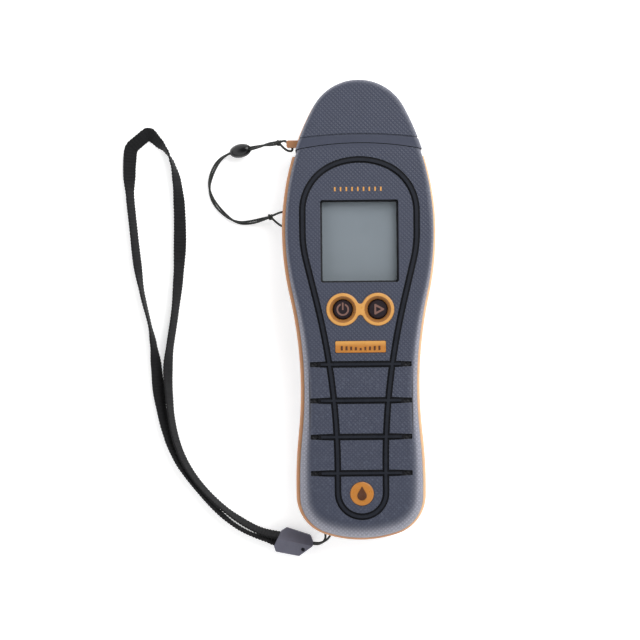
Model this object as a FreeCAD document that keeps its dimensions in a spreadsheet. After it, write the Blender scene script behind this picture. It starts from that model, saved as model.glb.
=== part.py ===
"""Handheld pin moisture meter lying on its back, as one parametric document.

+Z points out of the face with the display, +Y points to the electrode pins, and
the origin is under the middle of the case, on the surface that it lies on.
All lengths are millimetres.
"""
import FreeCAD, Part
import math
import os
import re
import Sketcher

V = FreeCAD.Vector
UP = V(0, 0, 1)

# ---------------------------------------------------------------- dimensions
DIMENSIONS = (
    ("half_long", 89.4, "half of the length over case and cap"),
    ("thick", 28, "back face to front face"),
    ("head_half", 30.0, "half width beside the display"),
    ("head_y", 31, "where the head is widest"),
    ("waist_half", 23.2, "half width of the grip"),
    ("waist_y", -30, "where the grip is narrowest"),
    ("foot_half", 25.3, "half width near the lower end"),
    ("foot_y", -68, "where the lower end is widest"),
    ("tip_radius", 20.5, "outline at the tip of the cap"),
    ("shoulder_radius", 115, "outline under the head"),
    ("corner_radius", 16, "outline at the lower corners"),
    ("end_radius", 45, "outline of the lower end"),
    ("cover_inset", 1.5, "side band stands this far outside the covers"),
    ("cap_inset", 0.8, "side band stands this far outside the cap"),
    ("wall", 2.2, "wall of covers and cap"),
    ("clearance", 0.3, "gap between parts that move on each other"),
    ("tip_round", 1.8, "front edge radius at the cap tip"),
    ("head_round", 1.8, "front edge radius beside the display"),
    ("waist_round", 3.6, "front edge radius at the grip"),
    ("foot_round", 6, "front edge radius near the lower end"),
    ("end_round", 8, "front edge radius at the lower end"),
    ("back_round", 3.6, "back edge radius"),
    ("inside_round", 0.5, "least edge radius inside the walls"),
    ("band_low", 12, "underside of the side band"),
    ("band_high", 16, "top side of the side band"),
    ("band_round", 1.5, "edge radius of the side band"),
    ("band_end", 60.2, "upper end of the case's side band"),
    ("cap_band_end", 63.8, "lower end of the cap's side band"),
    ("seam_y", 64.05, "joint of case and cap on the centre line"),
    ("seam_radius", 120, "arch of that joint"),
    ("lip_y", 67.96, "ring groove of the cap on the centre line"),
    ("lip_radius", 177, "arch of that groove"),
    ("lip_groove", 0.7, "width of that groove"),
    ("lip_deep", 0.35, "depth of that groove"),
    ("lug_out", 27.9, "tether eye of the cap, half width to its end"),
    ("lug_top", 66.6, "upper side of the tether eye"),
    ("lug_low", 12.5, "underside of the tether eye"),
    ("lug_high", 15.5, "top side of the tether eye"),
    ("eye_radius", 0.8, "hole of the tether eye"),
    ("inlay_wide", 2.3, "rubber inlay in the face"),
    ("inlay_groove", 2.6, "groove of the inlay"),
    ("inlay_rib", 1.1, "raised rib along the inlay"),
    ("groove_floor", 27.2, "floor of the inlay groove"),
    ("inlay_top", 27.75, "flat part of the inlay"),
    ("rib_top", 28.4, "top of the inlay's rib"),
    ("bar_half", 19.5, "half length of the cross grooves"),
    ("bar_inlay_half", 16.4, "half length of the cross inlays"),
    ("bar_wide", 2.6, "cross grooves in the middle"),
    ("bar_end_wide", 1.9, "cross grooves at their ends"),
    ("bar_play", 0.15, "cross inlay to its groove, each side"),
    ("bar_pit", 26.6, "floor of the pits beyond the ends of the cross inlays"),
    ("bar_first", -20.6, "first cross bar"),
    ("bar_pitch", -13.9, "step from bar to bar"),
    ("lcd_y", 26.6, "middle of the display"),
    ("opening_half_wide", 15, "display opening"),
    ("opening_half_high", 15.85, "display opening"),
    ("opening_round", 0.9, "corners of the display opening"),
    ("window_half_wide", 16.5, "display window, glued under the face"),
    ("window_half_high", 17.35, "display window"),
    ("window_low", 24.8, "underside of the window"),
    ("frame_wall", 0.9, "side wall of the display frame"),
    ("view_half_wide", 14.3, "viewing hole of the display frame"),
    ("view_half_high", 15.15, "viewing hole of the display frame"),
    ("glass_low", 22.2, "underside of the display glass"),
    ("glass_high", 24.2, "top side of the display glass"),
    ("zebra_wide", 1.6, "rubber contact strips of the display"),
    ("button_x", 6.7, "buttons, off the centre line"),
    ("button_y", 0.4, "buttons"),
    ("button_radius", 3.6, "button cap"),
    ("button_travel", 0.7, "button travel"),
    ("button_top", 27.8, "top of the button caps"),
    ("flange_radius", 4.6, "retaining flange of the button cap"),
    ("flange_low", 24.4, "underside of that flange"),
    ("flange_high", 25.4, "top side of that flange"),
    ("plunger_radius", 1.6, "plunger of the key switch"),
    ("plunger_low", 22.0, "lower end of the plunger"),
    ("switch_half", 3, "key switch, half side"),
    ("switch_high", 23.1, "top side of the key switch"),
    ("bezel_radius", 6.4, "rings of the button bezel"),
    ("bezel_neck", 2.25, "half height of the bezel's neck"),
    ("bezel_low", 26.6, "underside of the bezel"),
    ("bezel_top", 28.4, "rim of the bezel"),
    ("bezel_dish", 5.1, "dish of the bezel at its rim"),
    ("glyph_high", 0.15, "symbols stand this far above their ground"),
    ("badge_y", -13.9, "badge plate"),
    ("badge_half_wide", 9.75, "badge plate"),
    ("badge_half_high", 2.3, "badge plate"),
    ("badge_low", 27.4, "underside of both badges"),
    ("badge_top", 28.2, "top side of both badges"),
    ("disc_y", -70.2, "round badge"),
    ("disc_radius", 4.7, "round badge"),
    ("board_low", 18.4, "underside of the circuit board"),
    ("board_high", 20, "top side of the circuit board"),
    ("board_half", 16.4, "half width of the board"),
    ("board_start", -16, "lower end of the board"),
    ("board_end", 52, "upper end of the board"),
    ("post_x", 14, "board posts"),
    ("post_radius", 2.2, "board posts"),
    ("boss_radius", 4.2, "screw bosses of the rear cover"),
    ("boss_top", 14, "joint of the screw bosses"),
    ("front_boss_radius", 3, "screw bosses of the front cover"),
    ("sink_radius", 3, "counterbore of the case screws"),
    ("sink_deep", 4.6, "floor of the counterbore"),
    ("screw_radius", 1.3, "thread of the case screws"),
    ("screw_head", 2.7, "head of the case screws"),
    ("screw_low", 2.2, "underside of the screw heads"),
    ("screw_end", 21, "tip of the case screws"),
    ("head_inset", 4.0, "electrode head inside the cap and case walls"),
    ("head_back", 56, "back face of the electrode head"),
    ("head_front", 69, "front face of the electrode head"),
    ("pin_x", 6, "electrode pins, off the centre line"),
    ("pin_z", 14, "electrode pins, above the back"),
    ("pin_radius", 0.6, "electrode pin, free part"),
    ("pin_shank", 0.4, "electrode pin inside its holder and nut"),
    ("pin_bore", 0.42, "socket of the electrode pin"),
    ("pin_root", 60, "inner end of the electrode pin"),
    ("pin_taper", 81.5, "start of the pin's point"),
    ("pin_tip", 84, "tip of the electrode pin"),
    ("holder_radius", 2.3, "pin holder in the electrode head"),
    ("holder_back", 53, "inner end of the pin holder"),
    ("holder_step", 68.4, "shoulder of the pin holder"),
    ("holder_neck", 1.95, "threaded neck of the pin holder"),
    ("holder_tip", 72.4, "front end of the pin holder"),
    ("nut_radius", 3.2, "knurled pin nut"),
    ("nut_bore", 2.0, "thread of the pin nut"),
    ("nut_back", 69.1, "back face of the pin nut"),
    ("nut_front", 74, "front face of the pin nut"),
    ("nut_floor", 72.8, "end of the pin nut's thread"),
    ("nut_hole", 0.8, "pin hole of the nut"),
    ("cell_x", 7.6, "battery cells, off the centre line"),
    ("cell_z", 10.3, "battery cells, above the back"),
    ("cell_radius", 7.25, "battery cell"),
    ("cell_start", -69.3, "lower end of the cells"),
    ("cell_long", 50.5, "length over the terminal"),
    ("nub_long", 1.2, "positive terminal"),
    ("nub_radius", 2.75, "positive terminal"),
    ("bay_half", 15.6, "battery compartment"),
    ("bay_start", -71.3, "lower end of the compartment"),
    ("bay_end", -18.1, "upper end of the compartment"),
    ("bay_wall", 1.4, "wall of the compartment"),
    ("bay_top", 14, "top of the compartment wall"),
    ("door_half", 15.3, "battery door"),
    ("door_low", 0.4, "outer face of the door, above the back"),
    ("door_high", 2.4, "inner face of the door"),
    ("hinge_y", -70, "hinge of the door"),
    ("hinge_z", 1.4, "hinge of the door"),
    ("trunnion_radius", 0.7, "hinge stubs of the door"),
    ("trunnion_play", 0.05, "hinge stub in its hole, all round"),
    ("trunnion_out", 17, "half distance over the hinge stubs"),
    ("cord_radius", 0.45, "single thin cord"),
    ("tether_radius", 1, "tether, two thin cords side by side"),
    ("knot_radius", 1.3, "knots of the tether"),
    ("knot_reach", 1.05, "cord ends stop this far from the middle of their knot"),
    ("cord_hole", 0.8, "anchor holes of the rear cover"),
    ("anchor_z", 8, "tether anchor holes"),
    ("strap_anchor_z", 7, "strap anchor holes"),
    ("bead_long", 9.4, "tether bead"),
    ("bead_radius", 2.75, "tether bead"),
    ("bead_bore", 1.3, "hole of the tether bead"),
    ("webbing_wide", 5.5, "strap webbing, standing on its edge"),
    ("webbing_thick", 1, "strap webbing"),
    ("clasp_high", 6.4, "strap clasp"),
    ("clasp_hole", 0.75, "cord holes of the strap clasp"),
)

size = {alias: value for alias, value, note in DIMENSIONS}
doc = FreeCAD.newDocument("moisture_meter")
sheet = doc.addObject("Spreadsheet::Sheet", "dims")
for row, (alias, value, note) in enumerate(DIMENSIONS, 1):
    sheet.set("A%d" % row, note)
    sheet.set("B%d" % row, str(value))
    sheet.setAlias("B%d" % row, alias)
doc.recompute()

NODES = []


# ------------------------------------------------------------ building helpers
def rule(text):
    """An expression in which every word that the sheet knows is read from the sheet."""
    return re.sub(r"[a-z_]+", lambda word: ("dims." if word.group() in size else "") + word.group(),
                  str(text))


def bind(piece, **rules):
    """Bind properties of a piece to expressions on the sheet."""
    for name, text in rules.items():
        piece.setExpression(name, rule(text))
    return piece


def place(piece, x, y, z):
    """Bind the position of a piece."""
    for letter, text in zip("xyz", (x, y, z)):
        piece.setExpression("Placement.Base." + letter, rule(text))
    return piece


def block(name, x, y, z):
    """A box between pairs of limits."""
    piece = doc.addObject("Part::Box", name)
    sides = {side: "(%s) - (%s)" % (limits[1], limits[0])
             for side, limits in zip(("Length", "Width", "Height"), (x, y, z))}
    return place(bind(piece, **sides), x[0], y[0], z[0])


TURNS = {"x": FreeCAD.Rotation(V(0, 1, 0), 90),
         "y": FreeCAD.Rotation(V(1, 0, 0), -90),
         "z": FreeCAD.Rotation()}


def rod(name, at, radius, length, along="z"):
    """A cylinder that starts at a point and runs along an axis."""
    piece = bind(doc.addObject("Part::Cylinder", name), Radius=radius, Height=length)
    piece.Placement.Rotation = TURNS[along]
    return place(piece, *at)


def cone(name, at, low_radius, high_radius, length):
    """An upright cone or dish."""
    piece = doc.addObject("Part::Cone", name)
    bind(piece, Radius1=low_radius, Radius2=high_radius, Height=length)
    return place(piece, *at)


def drawn(name, shape):
    """A shape made by Part's own functions."""
    piece = doc.addObject("Part::Feature", name)
    piece.Shape = shape
    return piece


def prism(name, wire, low, high):
    """A flat closed wire at height 0, pulled up between two heights."""
    flat = drawn(name + "_outline", wire)
    piece = doc.addObject("Part::Extrusion", name)
    piece.Base = flat
    piece.DirMode = "Custom"
    piece.Dir = UP
    piece.Solid = True
    return bind(piece, LengthFwd=high, LengthRev="-(%s)" % low)


def joined(name, *pieces):
    """One solid from pieces that touch."""
    union = doc.addObject("Part::MultiFuse", name)
    union.Shapes = list(pieces)
    return union


def group(name, *pieces):
    """Separate solids that share a node."""
    compound = doc.addObject("Part::Compound", name)
    compound.Links = list(pieces)
    return compound


def less(name, base, *tools):
    """A piece with other pieces cut out of it."""
    cut = doc.addObject("Part::Cut", name)
    cut.Base = base
    cut.Tool = tools[0] if len(tools) == 1 else group(name + "_cuts", *tools)
    return cut


def shared(name, *pieces):
    """What all the pieces have in common."""
    common = doc.addObject("Part::MultiCommon", name)
    common.Shapes = list(pieces)
    return common


def rounded(name, base, radii):
    """Round edges: radii(edge) gives the radii at both ends, or None."""
    doc.recompute()
    piece = doc.addObject("Part::Fillet", name)
    piece.Base = base
    rounds = [(number, radii(edge)) for number, edge in enumerate(base.Shape.Edges, 1)]
    piece.Edges = [(number,) + ends for number, ends in rounds if ends]
    return piece


def flat_at(*heights):
    """A test for edges that lie in one of the given heights."""
    def test(edge):
        return any(all(abs(vertex.Z - height) < 1e-4 for vertex in edge.Vertexes) for height in heights)
    return test


def upright(edge):
    """A test for edges that run straight up."""
    box = edge.BoundBox
    return max(box.XLength, box.YLength) < 1e-4


def even(test, radius):
    """The same radius on every edge that passes a test."""
    return lambda edge: (radius, radius) if test(edge) else None


def node(piece):
    """Keep a finished sub-part; its label names its file."""
    piece.Label = piece.Name
    NODES.append(piece)
    return piece


def sketch_of(body, corners):
    """A closed sketch in the body's XY plane, each corner bound to the sheet."""
    sketch = body.newObject("Sketcher::SketchObject", body.Name + "_profile")
    plane = next(item for item in body.Origin.OriginFeatures if item.Role == "XY_Plane")
    sketch.AttachmentSupport = [(plane, "")]
    sketch.MapMode = "FlatFace"
    count = len(corners)
    ring = [V(math.cos(2 * math.pi * step / count), math.sin(2 * math.pi * step / count), 0)
            for step in range(count)]
    for start, end in zip(ring, ring[1:] + ring[:1]):
        sketch.addGeometry(Part.LineSegment(start, end), False)
    for step in range(count):
        sketch.addConstraint(Sketcher.Constraint("Coincident", step, 2, (step + 1) % count, 1))
    for step, corner in enumerate(corners):
        for kind, axis, text in zip(("DistanceX", "DistanceY"), (-2, -1), corner):
            if text == "0":
                sketch.addConstraint(Sketcher.Constraint("PointOnObject", step, 1, axis))
            else:
                number = sketch.addConstraint(Sketcher.Constraint(kind, step, 1, 1.0))
                sketch.setExpression("Constraints[%d]" % number, rule(text))
    return sketch


def turned(name, at, corners, along="y"):
    """A body of revolution: corners are pairs of distance from the axis and place along it."""
    body = doc.addObject("PartDesign::Body", name)
    revolution = body.newObject("PartDesign::Revolution", name + "_turned")
    sketch = sketch_of(body, corners)
    revolution.Profile = sketch
    revolution.ReferenceAxis = (sketch, ["V_Axis"])
    revolution.Angle = 360
    body.Tip = revolution
    sketch.Visibility = False
    turn = {"y": FreeCAD.Rotation(), "z": FreeCAD.Rotation(V(1, 0, 0), 90)}[along]
    body.Placement.Rotation = turn
    return place(body, *at)


def padded(name, at, corners, height):
    """A body pulled up from a flat sketch."""
    body = doc.addObject("PartDesign::Body", name)
    sketch = sketch_of(body, corners)
    pad = body.newObject("PartDesign::Pad", name + "_pad")
    pad.Profile = sketch
    bind(pad, Length=height)
    body.Tip = pad
    return place(body, *at)


# ------------------------------------------------------------- outlines of arcs
# An outline is a clockwise list of arcs (centre x, centre y, radius), where a
# negative radius is a hollow arc. Neighbours are joined by their common tangent.
def meeting_normal(first, second):
    """Outward direction of the tangent from one arc to the next."""
    across, along = second[0] - first[0], second[1] - first[1]
    step = first[2] - second[2]
    span = across ** 2 + along ** 2
    run = math.sqrt(max(span - step ** 2, 0))
    run = run if run > 1e-3 else 0
    return V(step * across - run * along, step * along + run * across, 0) / span


def closed_outline(arcs, inset=0.0, height=0.0):
    """The wire of an outline, moved inwards by an inset."""
    normals = [meeting_normal(arc, following) for arc, following in zip(arcs, arcs[1:] + arcs[:1])]
    edges = []
    last = None
    for (x, y, radius), first, second in zip(arcs, normals[-1:] + normals[:-1], normals):
        start_angle, end_angle = (math.atan2(normal.y, normal.x) for normal in (first, second))
        sweep = (start_angle - end_angle) % (2 * math.pi)
        if radius < 0:
            sweep = sweep - 2 * math.pi
        reach = radius - inset
        points = [V(x + reach * math.cos(start_angle - part * sweep),
                    y + reach * math.sin(start_angle - part * sweep), height) for part in (0, 0.5, 1)]
        if last and last.distanceToPoint(points[0]) > 1e-3:
            edges.append(Part.makeLine(last, points[0]))
        edges.append(Part.Arc(*points).toShape())
        last = points[2]
    begin = edges[0].firstVertex().Point
    if last.distanceToPoint(begin) > 1e-3:
        edges.append(Part.makeLine(last, begin))
    return Part.Wire(edges)


def both_sides(right):
    """A whole outline from its right side, whose first and last arcs are on the centre line."""
    return right + [(-x, y, radius) for x, y, radius in reversed(right[1:-1])]


def nested(outer, other, radius):
    """Centre of an arc that lies inside two larger arcs and touches both, on their right."""
    reach, other_reach = outer[2] - radius, other[2] - radius
    across, along = other[0] - outer[0], other[1] - outer[1]
    span = math.hypot(across, along)
    part = (reach ** 2 - other_reach ** 2 + span ** 2) / (2 * span)
    side = math.sqrt(reach ** 2 - part ** 2)
    return (outer[0] + (part * across + side * along) / span,
            outer[1] + (part * along - side * across) / span, radius)


def blend_radii(rise, run):
    """Sum of the radii of two opposite arcs that lead over a step of the outline."""
    return (rise ** 2 + run ** 2) / (2 * rise)


def case_outline():
    """The whole meter seen from the front: cap tip, head, grip and lower end."""
    tip, head, waist, foot = (size[name] for name in ("tip_radius", "head_half", "waist_half", "foot_half"))
    head_y, waist_y, foot_y = size["head_y"], size["waist_y"], size["foot_y"]
    tip_y = size["half_long"] - tip
    head_radius = ((tip_y - head_y) ** 2 / (head - tip) + tip + head) / 2
    shoulder = size["shoulder_radius"]
    hollow = blend_radii(head - waist, head_y - waist_y) - shoulder
    swell = blend_radii(foot - waist, waist_y - foot_y) - hollow
    end = (0, size["end_radius"] - size["half_long"], size["end_radius"])
    lower = (foot - swell, foot_y, swell)
    corner = nested(lower, end, size["corner_radius"])
    return both_sides([(0, tip_y, tip), (head - head_radius, head_y, head_radius),
                       (head - shoulder, head_y, shoulder), (waist + hollow, waist_y, -hollow),
                       lower, corner, end])


def inlay_outline():
    """Centre line of the rubber loop on the face: a wide hoop on a slim neck."""
    hoop, corner_x, corner_y = 26.0, 2.6, 38.0
    hoop_y = 31.8
    corner = hoop - math.hypot(corner_x, corner_y - hoop_y)
    side = corner_x + corner
    lower_bend, hollow, neck = 45.0, 270.6, 9.2
    return both_sides([(0, hoop_y, hoop), (corner_x, corner_y, corner), (side - lower_bend, 30, lower_bend),
                       (neck + hollow, -60, -hollow), (0, -69.8, neck)])


def bezel_outline():
    """Two rings joined by a neck with hollow sides."""
    ring, neck, apart = size["bezel_radius"], size["bezel_neck"], size["button_x"]
    hollow = (apart ** 2 + neck ** 2 - ring ** 2) / (2 * (ring - neck))
    y = size["button_y"]
    return [(apart, y, ring), (0, y - neck - hollow, -hollow),
            (-apart, y, ring), (0, y + neck + hollow, -hollow)]


def box_outline(half_wide, half_high, y, corner):
    """A rectangle with rounded corners about a point on the centre line."""
    wide, high = half_wide - corner, half_high - corner
    return [(wide, y + high, corner), (wide, y - high, corner),
            (-wide, y - high, corner), (-wide, y + high, corner)]


CASE = case_outline()


# ----------------------------------------------------------------- case shells
def edge_round(y):
    """Front edge radius along the length."""
    stations = (("half_long", 1, "tip_round"), ("head_y", 1, "head_round"), ("waist_y", 1, "waist_round"),
                ("foot_y", 1, "foot_round"), ("half_long", -1, "end_round"))
    places = [(size[name] * sign, size[radius]) for name, sign, radius in stations]
    for (high, high_radius), (low, low_radius) in zip(places, places[1:]):
        if y >= low:
            return high_radius + (low_radius - high_radius) * (high - y) / (high - low)
    return places[-1][1]


def case_form(name, inset, depth):
    """The case and cap as one filled form, its skin the given depth under the covers' skin."""
    low, high = depth, size["thick"] - depth
    base = prism(name + "_prism", closed_outline(CASE, inset), low, high)

    def radii(edge):
        ends = edge.firstVertex().Y, edge.lastVertex().Y
        if flat_at(high)(edge):
            return tuple(max(edge_round(y) - depth, size["inside_round"]) for y in ends)
        if flat_at(low)(edge):
            return (size["back_round"] - depth,) * 2
        return None
    return rounded(name, base, radii)


skin = size["cover_inset"]
cap_skin = size["cap_inset"]
inner_form = case_form("inner_form", skin + size["wall"], size["wall"])
walls = less("walls", case_form("outer_form", skin, 0), inner_form)
cap_walls = less("cap_walls", case_form("cap_form", cap_skin, 0), inner_form)
OVER = "thick + 1"
FAR = 200
seam_low = ("0", "seam_y - seam_radius", "-1")
case_side = rod("case_side", seam_low, "seam_radius", "thick + 2")
cap_side = rod("cap_side", seam_low, "seam_radius + clearance", "thick + 2")

rim_form = rounded("rim_form", prism("rim_prism", closed_outline(CASE), "band_low", "band_high"),
                   even(flat_at(size["band_low"], size["band_high"]), size["band_round"]))


def band_ring(name, inset, y_low, y_high):
    """A stretch of the side band, from its outer face to an inset."""
    core = prism(name + "_core", closed_outline(CASE, inset), "band_low - 1", "band_high + 1")
    stretch = block(name + "_stretch", (-FAR, FAR), (y_low, y_high), ("0", "thick"))
    return shared(name, less(name + "_ring", rim_form, core), stretch)


SCREW_PLACES = (("19.5", "46"), ("16.5", "-76"))
POST_PLACES = (("post_x", "-12.5"), ("post_x", "49"))


def four(places):
    """The places of both sides."""
    return [(sign + x, y) for x, y in places for sign in ("", "-")]


def bar_wire(y, half, play):
    """Outline of a cross bar, narrower towards its ends."""
    middle, end, reach = (size["bar_wide"] / 2 - play, size["bar_end_wide"] / 2 - play, 12)
    corners = [(-half, end), (-reach, middle), (reach, middle), (half, end)]
    ring = corners + [(-x, -rise) for x, rise in corners]
    points = [V(x, y + rise, 0) for x, rise in ring]
    return Part.makePolygon(points + points[:1])


def ring_prism(name, arcs, width, low, high):
    """An upright wall of the given width along a closed centre line."""
    outside = prism(name + "_outside", closed_outline(arcs, -width / 2), low, high)
    inside = prism(name + "_inside", closed_outline(arcs, width / 2), low + " - 1", high + " + 1")
    return less(name, outside, inside)


BARS = [size["bar_first"] + step * size["bar_pitch"] for step in range(4)]


def make_front_cover():
    """Front half of the case: display opening, button bores, grooves, posts and bosses."""
    half = block("front_half", (-FAR, FAR), (-FAR, FAR), ("band_high", OVER))
    shell = shared("front_shell", walls, case_side, half)
    additions = [rod("front_boss_%d" % number, (x, y, "boss_top"), "front_boss_radius",
                     "thick - 1.5 - boss_top")
                 for number, (x, y) in enumerate(four(SCREW_PLACES))]
    additions += [rod("post_%d" % number, (x, y, "board_high"), "post_radius", "thick - 1.5 - board_high")
                  for number, (x, y) in enumerate(four(POST_PLACES))]
    cuts = [rod("front_pilot_%d" % number, (x, y, "boss_top - 1"), "screw_radius + 0.02",
                "screw_end - boss_top + 2")
            for number, (x, y) in enumerate(four(SCREW_PLACES))]
    cuts += [rod("post_pilot_%d" % number, (x, y, "board_high - 1"), "0.82", "5")
             for number, (x, y) in enumerate(four(POST_PLACES))]
    opening = box_outline(size["opening_half_wide"], size["opening_half_high"], size["lcd_y"],
                          size["opening_round"])
    cuts += [prism("display_opening", closed_outline(opening), "20", OVER),
             prism("bezel_seat", closed_outline(bezel_outline()), "bezel_low", OVER),
             rod("button_bore_left", ("-button_x", "button_y", "20"), "button_radius + clearance", "10"),
             rod("button_bore_right", ("button_x", "button_y", "20"), "button_radius + clearance", "10"),
             ring_prism("inlay_seat", inlay_outline(), size["inlay_groove"], "groove_floor", OVER),
             block("badge_seat", ("-badge_half_wide", "badge_half_wide"),
                   ("badge_y - badge_half_high", "badge_y + badge_half_high"), ("badge_low", OVER)),
             rod("disc_seat", ("0", "disc_y", "badge_low"), "disc_radius", "5")]
    for number, y in enumerate(BARS):
        cuts.append(prism("bar_seat_%d" % number, bar_wire(y, size["bar_half"], 0), "groove_floor", OVER))
        sides = ("%s - bar_end_wide / 2" % y, "%s + bar_end_wide / 2" % y)
        ends = (("left", ("-bar_half", "-bar_inlay_half")), ("right", ("bar_inlay_half", "bar_half")))
        cuts += [block("bar_pit_%s_%d" % (name, number), limits, sides, ("bar_pit", OVER))
                 for name, limits in ends]
    return node(less("front_cover", joined("front_body", shell, *additions), *cuts))


def make_rear_cover():
    """Rear half of the case: battery bay with its hinge holes, bosses and cord anchors."""
    half = block("rear_half", (-FAR, FAR), (-FAR, FAR), ("-1", "band_low"))
    shell = shared("rear_shell", walls, case_side, half)
    bay = block("bay_block", ("-bay_half - bay_wall", "bay_half + bay_wall"),
                ("bay_start - bay_wall", "bay_end + bay_wall"), ("1.5", "bay_top"))
    additions = [bay] + [rod("boss_%d" % number, (x, y, "1.5"), "boss_radius", "boss_top - 1.5")
                         for number, (x, y) in enumerate(four(SCREW_PLACES))]
    cuts = [block("bay_room", ("-bay_half", "bay_half"), ("bay_start", "bay_end"), ("-1", "bay_top + 1")),
            rod("hinge_holes", ("-trunnion_out - clearance", "hinge_y", "hinge_z"),
                "trunnion_radius + trunnion_play", "2 * (trunnion_out + clearance)", "x"),
            rod("finger_dish", ("0", "bay_end + 1", "-1"), "6", "1.9")]
    cuts += [rod("sink_%d" % number, (x, y, "-1"), "sink_radius", "sink_deep + 1")
             for number, (x, y) in enumerate(four(SCREW_PLACES))]
    cuts += [rod("screw_hole_%d" % number, (x, y, "-1"), "screw_radius + 0.25", "boss_top + 2")
             for number, (x, y) in enumerate(four(SCREW_PLACES))]
    cuts += [rod("tether_hole_%d" % number, ("-32", y, "anchor_z"), "cord_hole", "8", "x")
             for number, y in enumerate(("39.3", "33.2"))]
    cuts += [rod("strap_hole_%d" % number, (x, "-89", "strap_anchor_z"), "cord_hole", "6.5", "y")
             for number, x in enumerate(("-11.6", "-14.4"))]
    return node(less("rear_cover", joined("rear_body", shell, *additions), *cuts))


def make_cap():
    """Pull-off cap: a cup with a ring groove, a side band and a slanted tether eye."""
    groove_base = ("0", "lip_y - lip_radius", "-1")
    ring = less("lip_ring", rod("lip_outside", groove_base, "lip_radius", "thick + 2"),
                rod("lip_inside", groove_base, "lip_radius - lip_groove", "thick + 2"))
    under = case_form("under_form", cap_skin + size["lip_deep"], size["lip_deep"])
    node(less("cap_shell", cap_walls, cap_side, less("lip_cut", ring, under)))
    band = band_ring("cap_band_strip", cap_skin, "cap_band_end", FAR)
    tab = block("lug_block", ("-lug_out", "-20"), ("cap_band_end", "lug_top"), ("lug_low", "lug_high"))
    keep_out = prism("lug_keep_out", closed_outline(CASE, cap_skin), "0", "thick")
    lug = rounded("lug", less("lug_tab", tab, keep_out),
                  lambda edge: (0.9, 0.9) if upright(edge) and edge.firstVertex().X < -size["lug_out"] + 0.1
                  else None)
    eye = rod("lug_eye", ("-26.5", "64.9", "pin_z"), "eye_radius", "12")
    eye.Placement.Rotation = FreeCAD.Rotation(UP, V(-1, 1.05, 0))
    place(eye, "-26.5 + 4.14", "64.9 - 4.34", "pin_z")
    node(less("cap_band", joined("cap_band_body", band, lug), eye))


make_front_cover()
make_rear_cover()
node(band_ring("mid_band", skin + size["wall"], -FAR, "band_end"))
make_cap()


# ----------------------------------------------------------------- electrodes
def make_electrode_head():
    """Head that closes the case and carries the cap: spigot, root block and pin bores."""
    form = rounded("spigot_form",
                   prism("spigot_prism", closed_outline(CASE, size["head_inset"]), "2.5", "thick - 2.5"),
                   even(flat_at(2.5, size["thick"] - 2.5), 1.6))
    spigot = shared("spigot", form, block("spigot_stretch", (-FAR, FAR), ("head_back", "head_front"),
                                          ("0", "thick")))
    root = block("head_root", (-18, 18), ("head_back", "head_back + 4"), ("wall", "thick - wall"))
    bores = [rod("pin_bore_%s" % name, (x, "head_back - 1", "pin_z"), "holder_radius", "20", "y")
             for name, x in (("left", "-pin_x"), ("right", "pin_x"))]
    node(less("electrode_head", joined("head_body", spigot, root), *bores))


def make_electrode(side, x):
    """One electrode: holder in the head, needle pin and knurled nut."""
    at = (x, "0", "pin_z")
    node(turned("pin_holder_" + side, at, [
        ("0", "holder_back"), ("holder_radius", "holder_back"), ("holder_radius", "holder_step"),
        ("holder_neck", "holder_step"), ("holder_neck", "holder_tip"), ("pin_bore", "holder_tip"),
        ("pin_bore", "pin_root"), ("0", "pin_root")]))
    node(turned("electrode_pin_" + side, at, [
        ("0", "pin_root"), ("pin_shank", "pin_root"), ("pin_shank", "nut_front"), ("pin_radius", "nut_front"),
        ("pin_radius", "pin_taper"), ("0", "pin_tip")]))
    node(turned("pin_nut_" + side, at, [
        ("nut_bore", "nut_back"), ("nut_radius", "nut_back"), ("nut_radius", "nut_floor"),
        ("nut_hole + 1", "nut_front"), ("nut_hole", "nut_front"), ("nut_hole", "nut_floor"),
        ("nut_bore", "nut_floor")]))


make_electrode_head()
for side, x in (("left", "-pin_x"), ("right", "pin_x")):
    make_electrode(side, x)


# -------------------------------------------------------------------- display
def make_display():
    """Window, frame, liquid-crystal glass, light panel and rubber contact strips."""
    wide, high = size["window_half_wide"], size["window_half_high"]
    window = box_outline(wide, high, size["lcd_y"], 1.5)
    node(prism("lcd_window", closed_outline(window), "window_low", "thick - wall"))
    inner_wide, inner_high = wide - size["frame_wall"], high - size["frame_wall"]
    frame = prism("frame_block", closed_outline(box_outline(wide, high, size["lcd_y"], 1.5)),
                  "board_high", "window_low")
    pocket = prism("frame_pocket", closed_outline(box_outline(inner_wide, inner_high, size["lcd_y"], 0.4)),
                   "board_high - 1", "glass_high")
    view = prism("frame_view", closed_outline(
        box_outline(size["view_half_wide"], size["view_half_high"], size["lcd_y"], 0.6)),
        "board_high", "window_low + 1")
    node(less("lcd_frame", frame, pocket, view))
    side, end = "window_half_wide - frame_wall - 0.1", "window_half_high - frame_wall - 0.1"
    node(block("lcd_glass", ("-(%s)" % side, side), ("lcd_y - (%s)" % end, "lcd_y + " + end),
               ("glass_low", "glass_high")))
    node(block("lcd_backlight", (-13.5, 13.5), ("lcd_y - 13.5", "lcd_y + 13.5"), ("board_high", "glass_low")))
    strips = [block("zebra_%s" % name, (-14, 14), (low, low + " + zebra_wide"), ("board_high", "glass_low"))
              for name, low in (("lower", "lcd_y - 16.2"), ("upper", "lcd_y + 16.2 - zebra_wide"))]
    node(group("zebra_strips", *strips))


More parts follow.
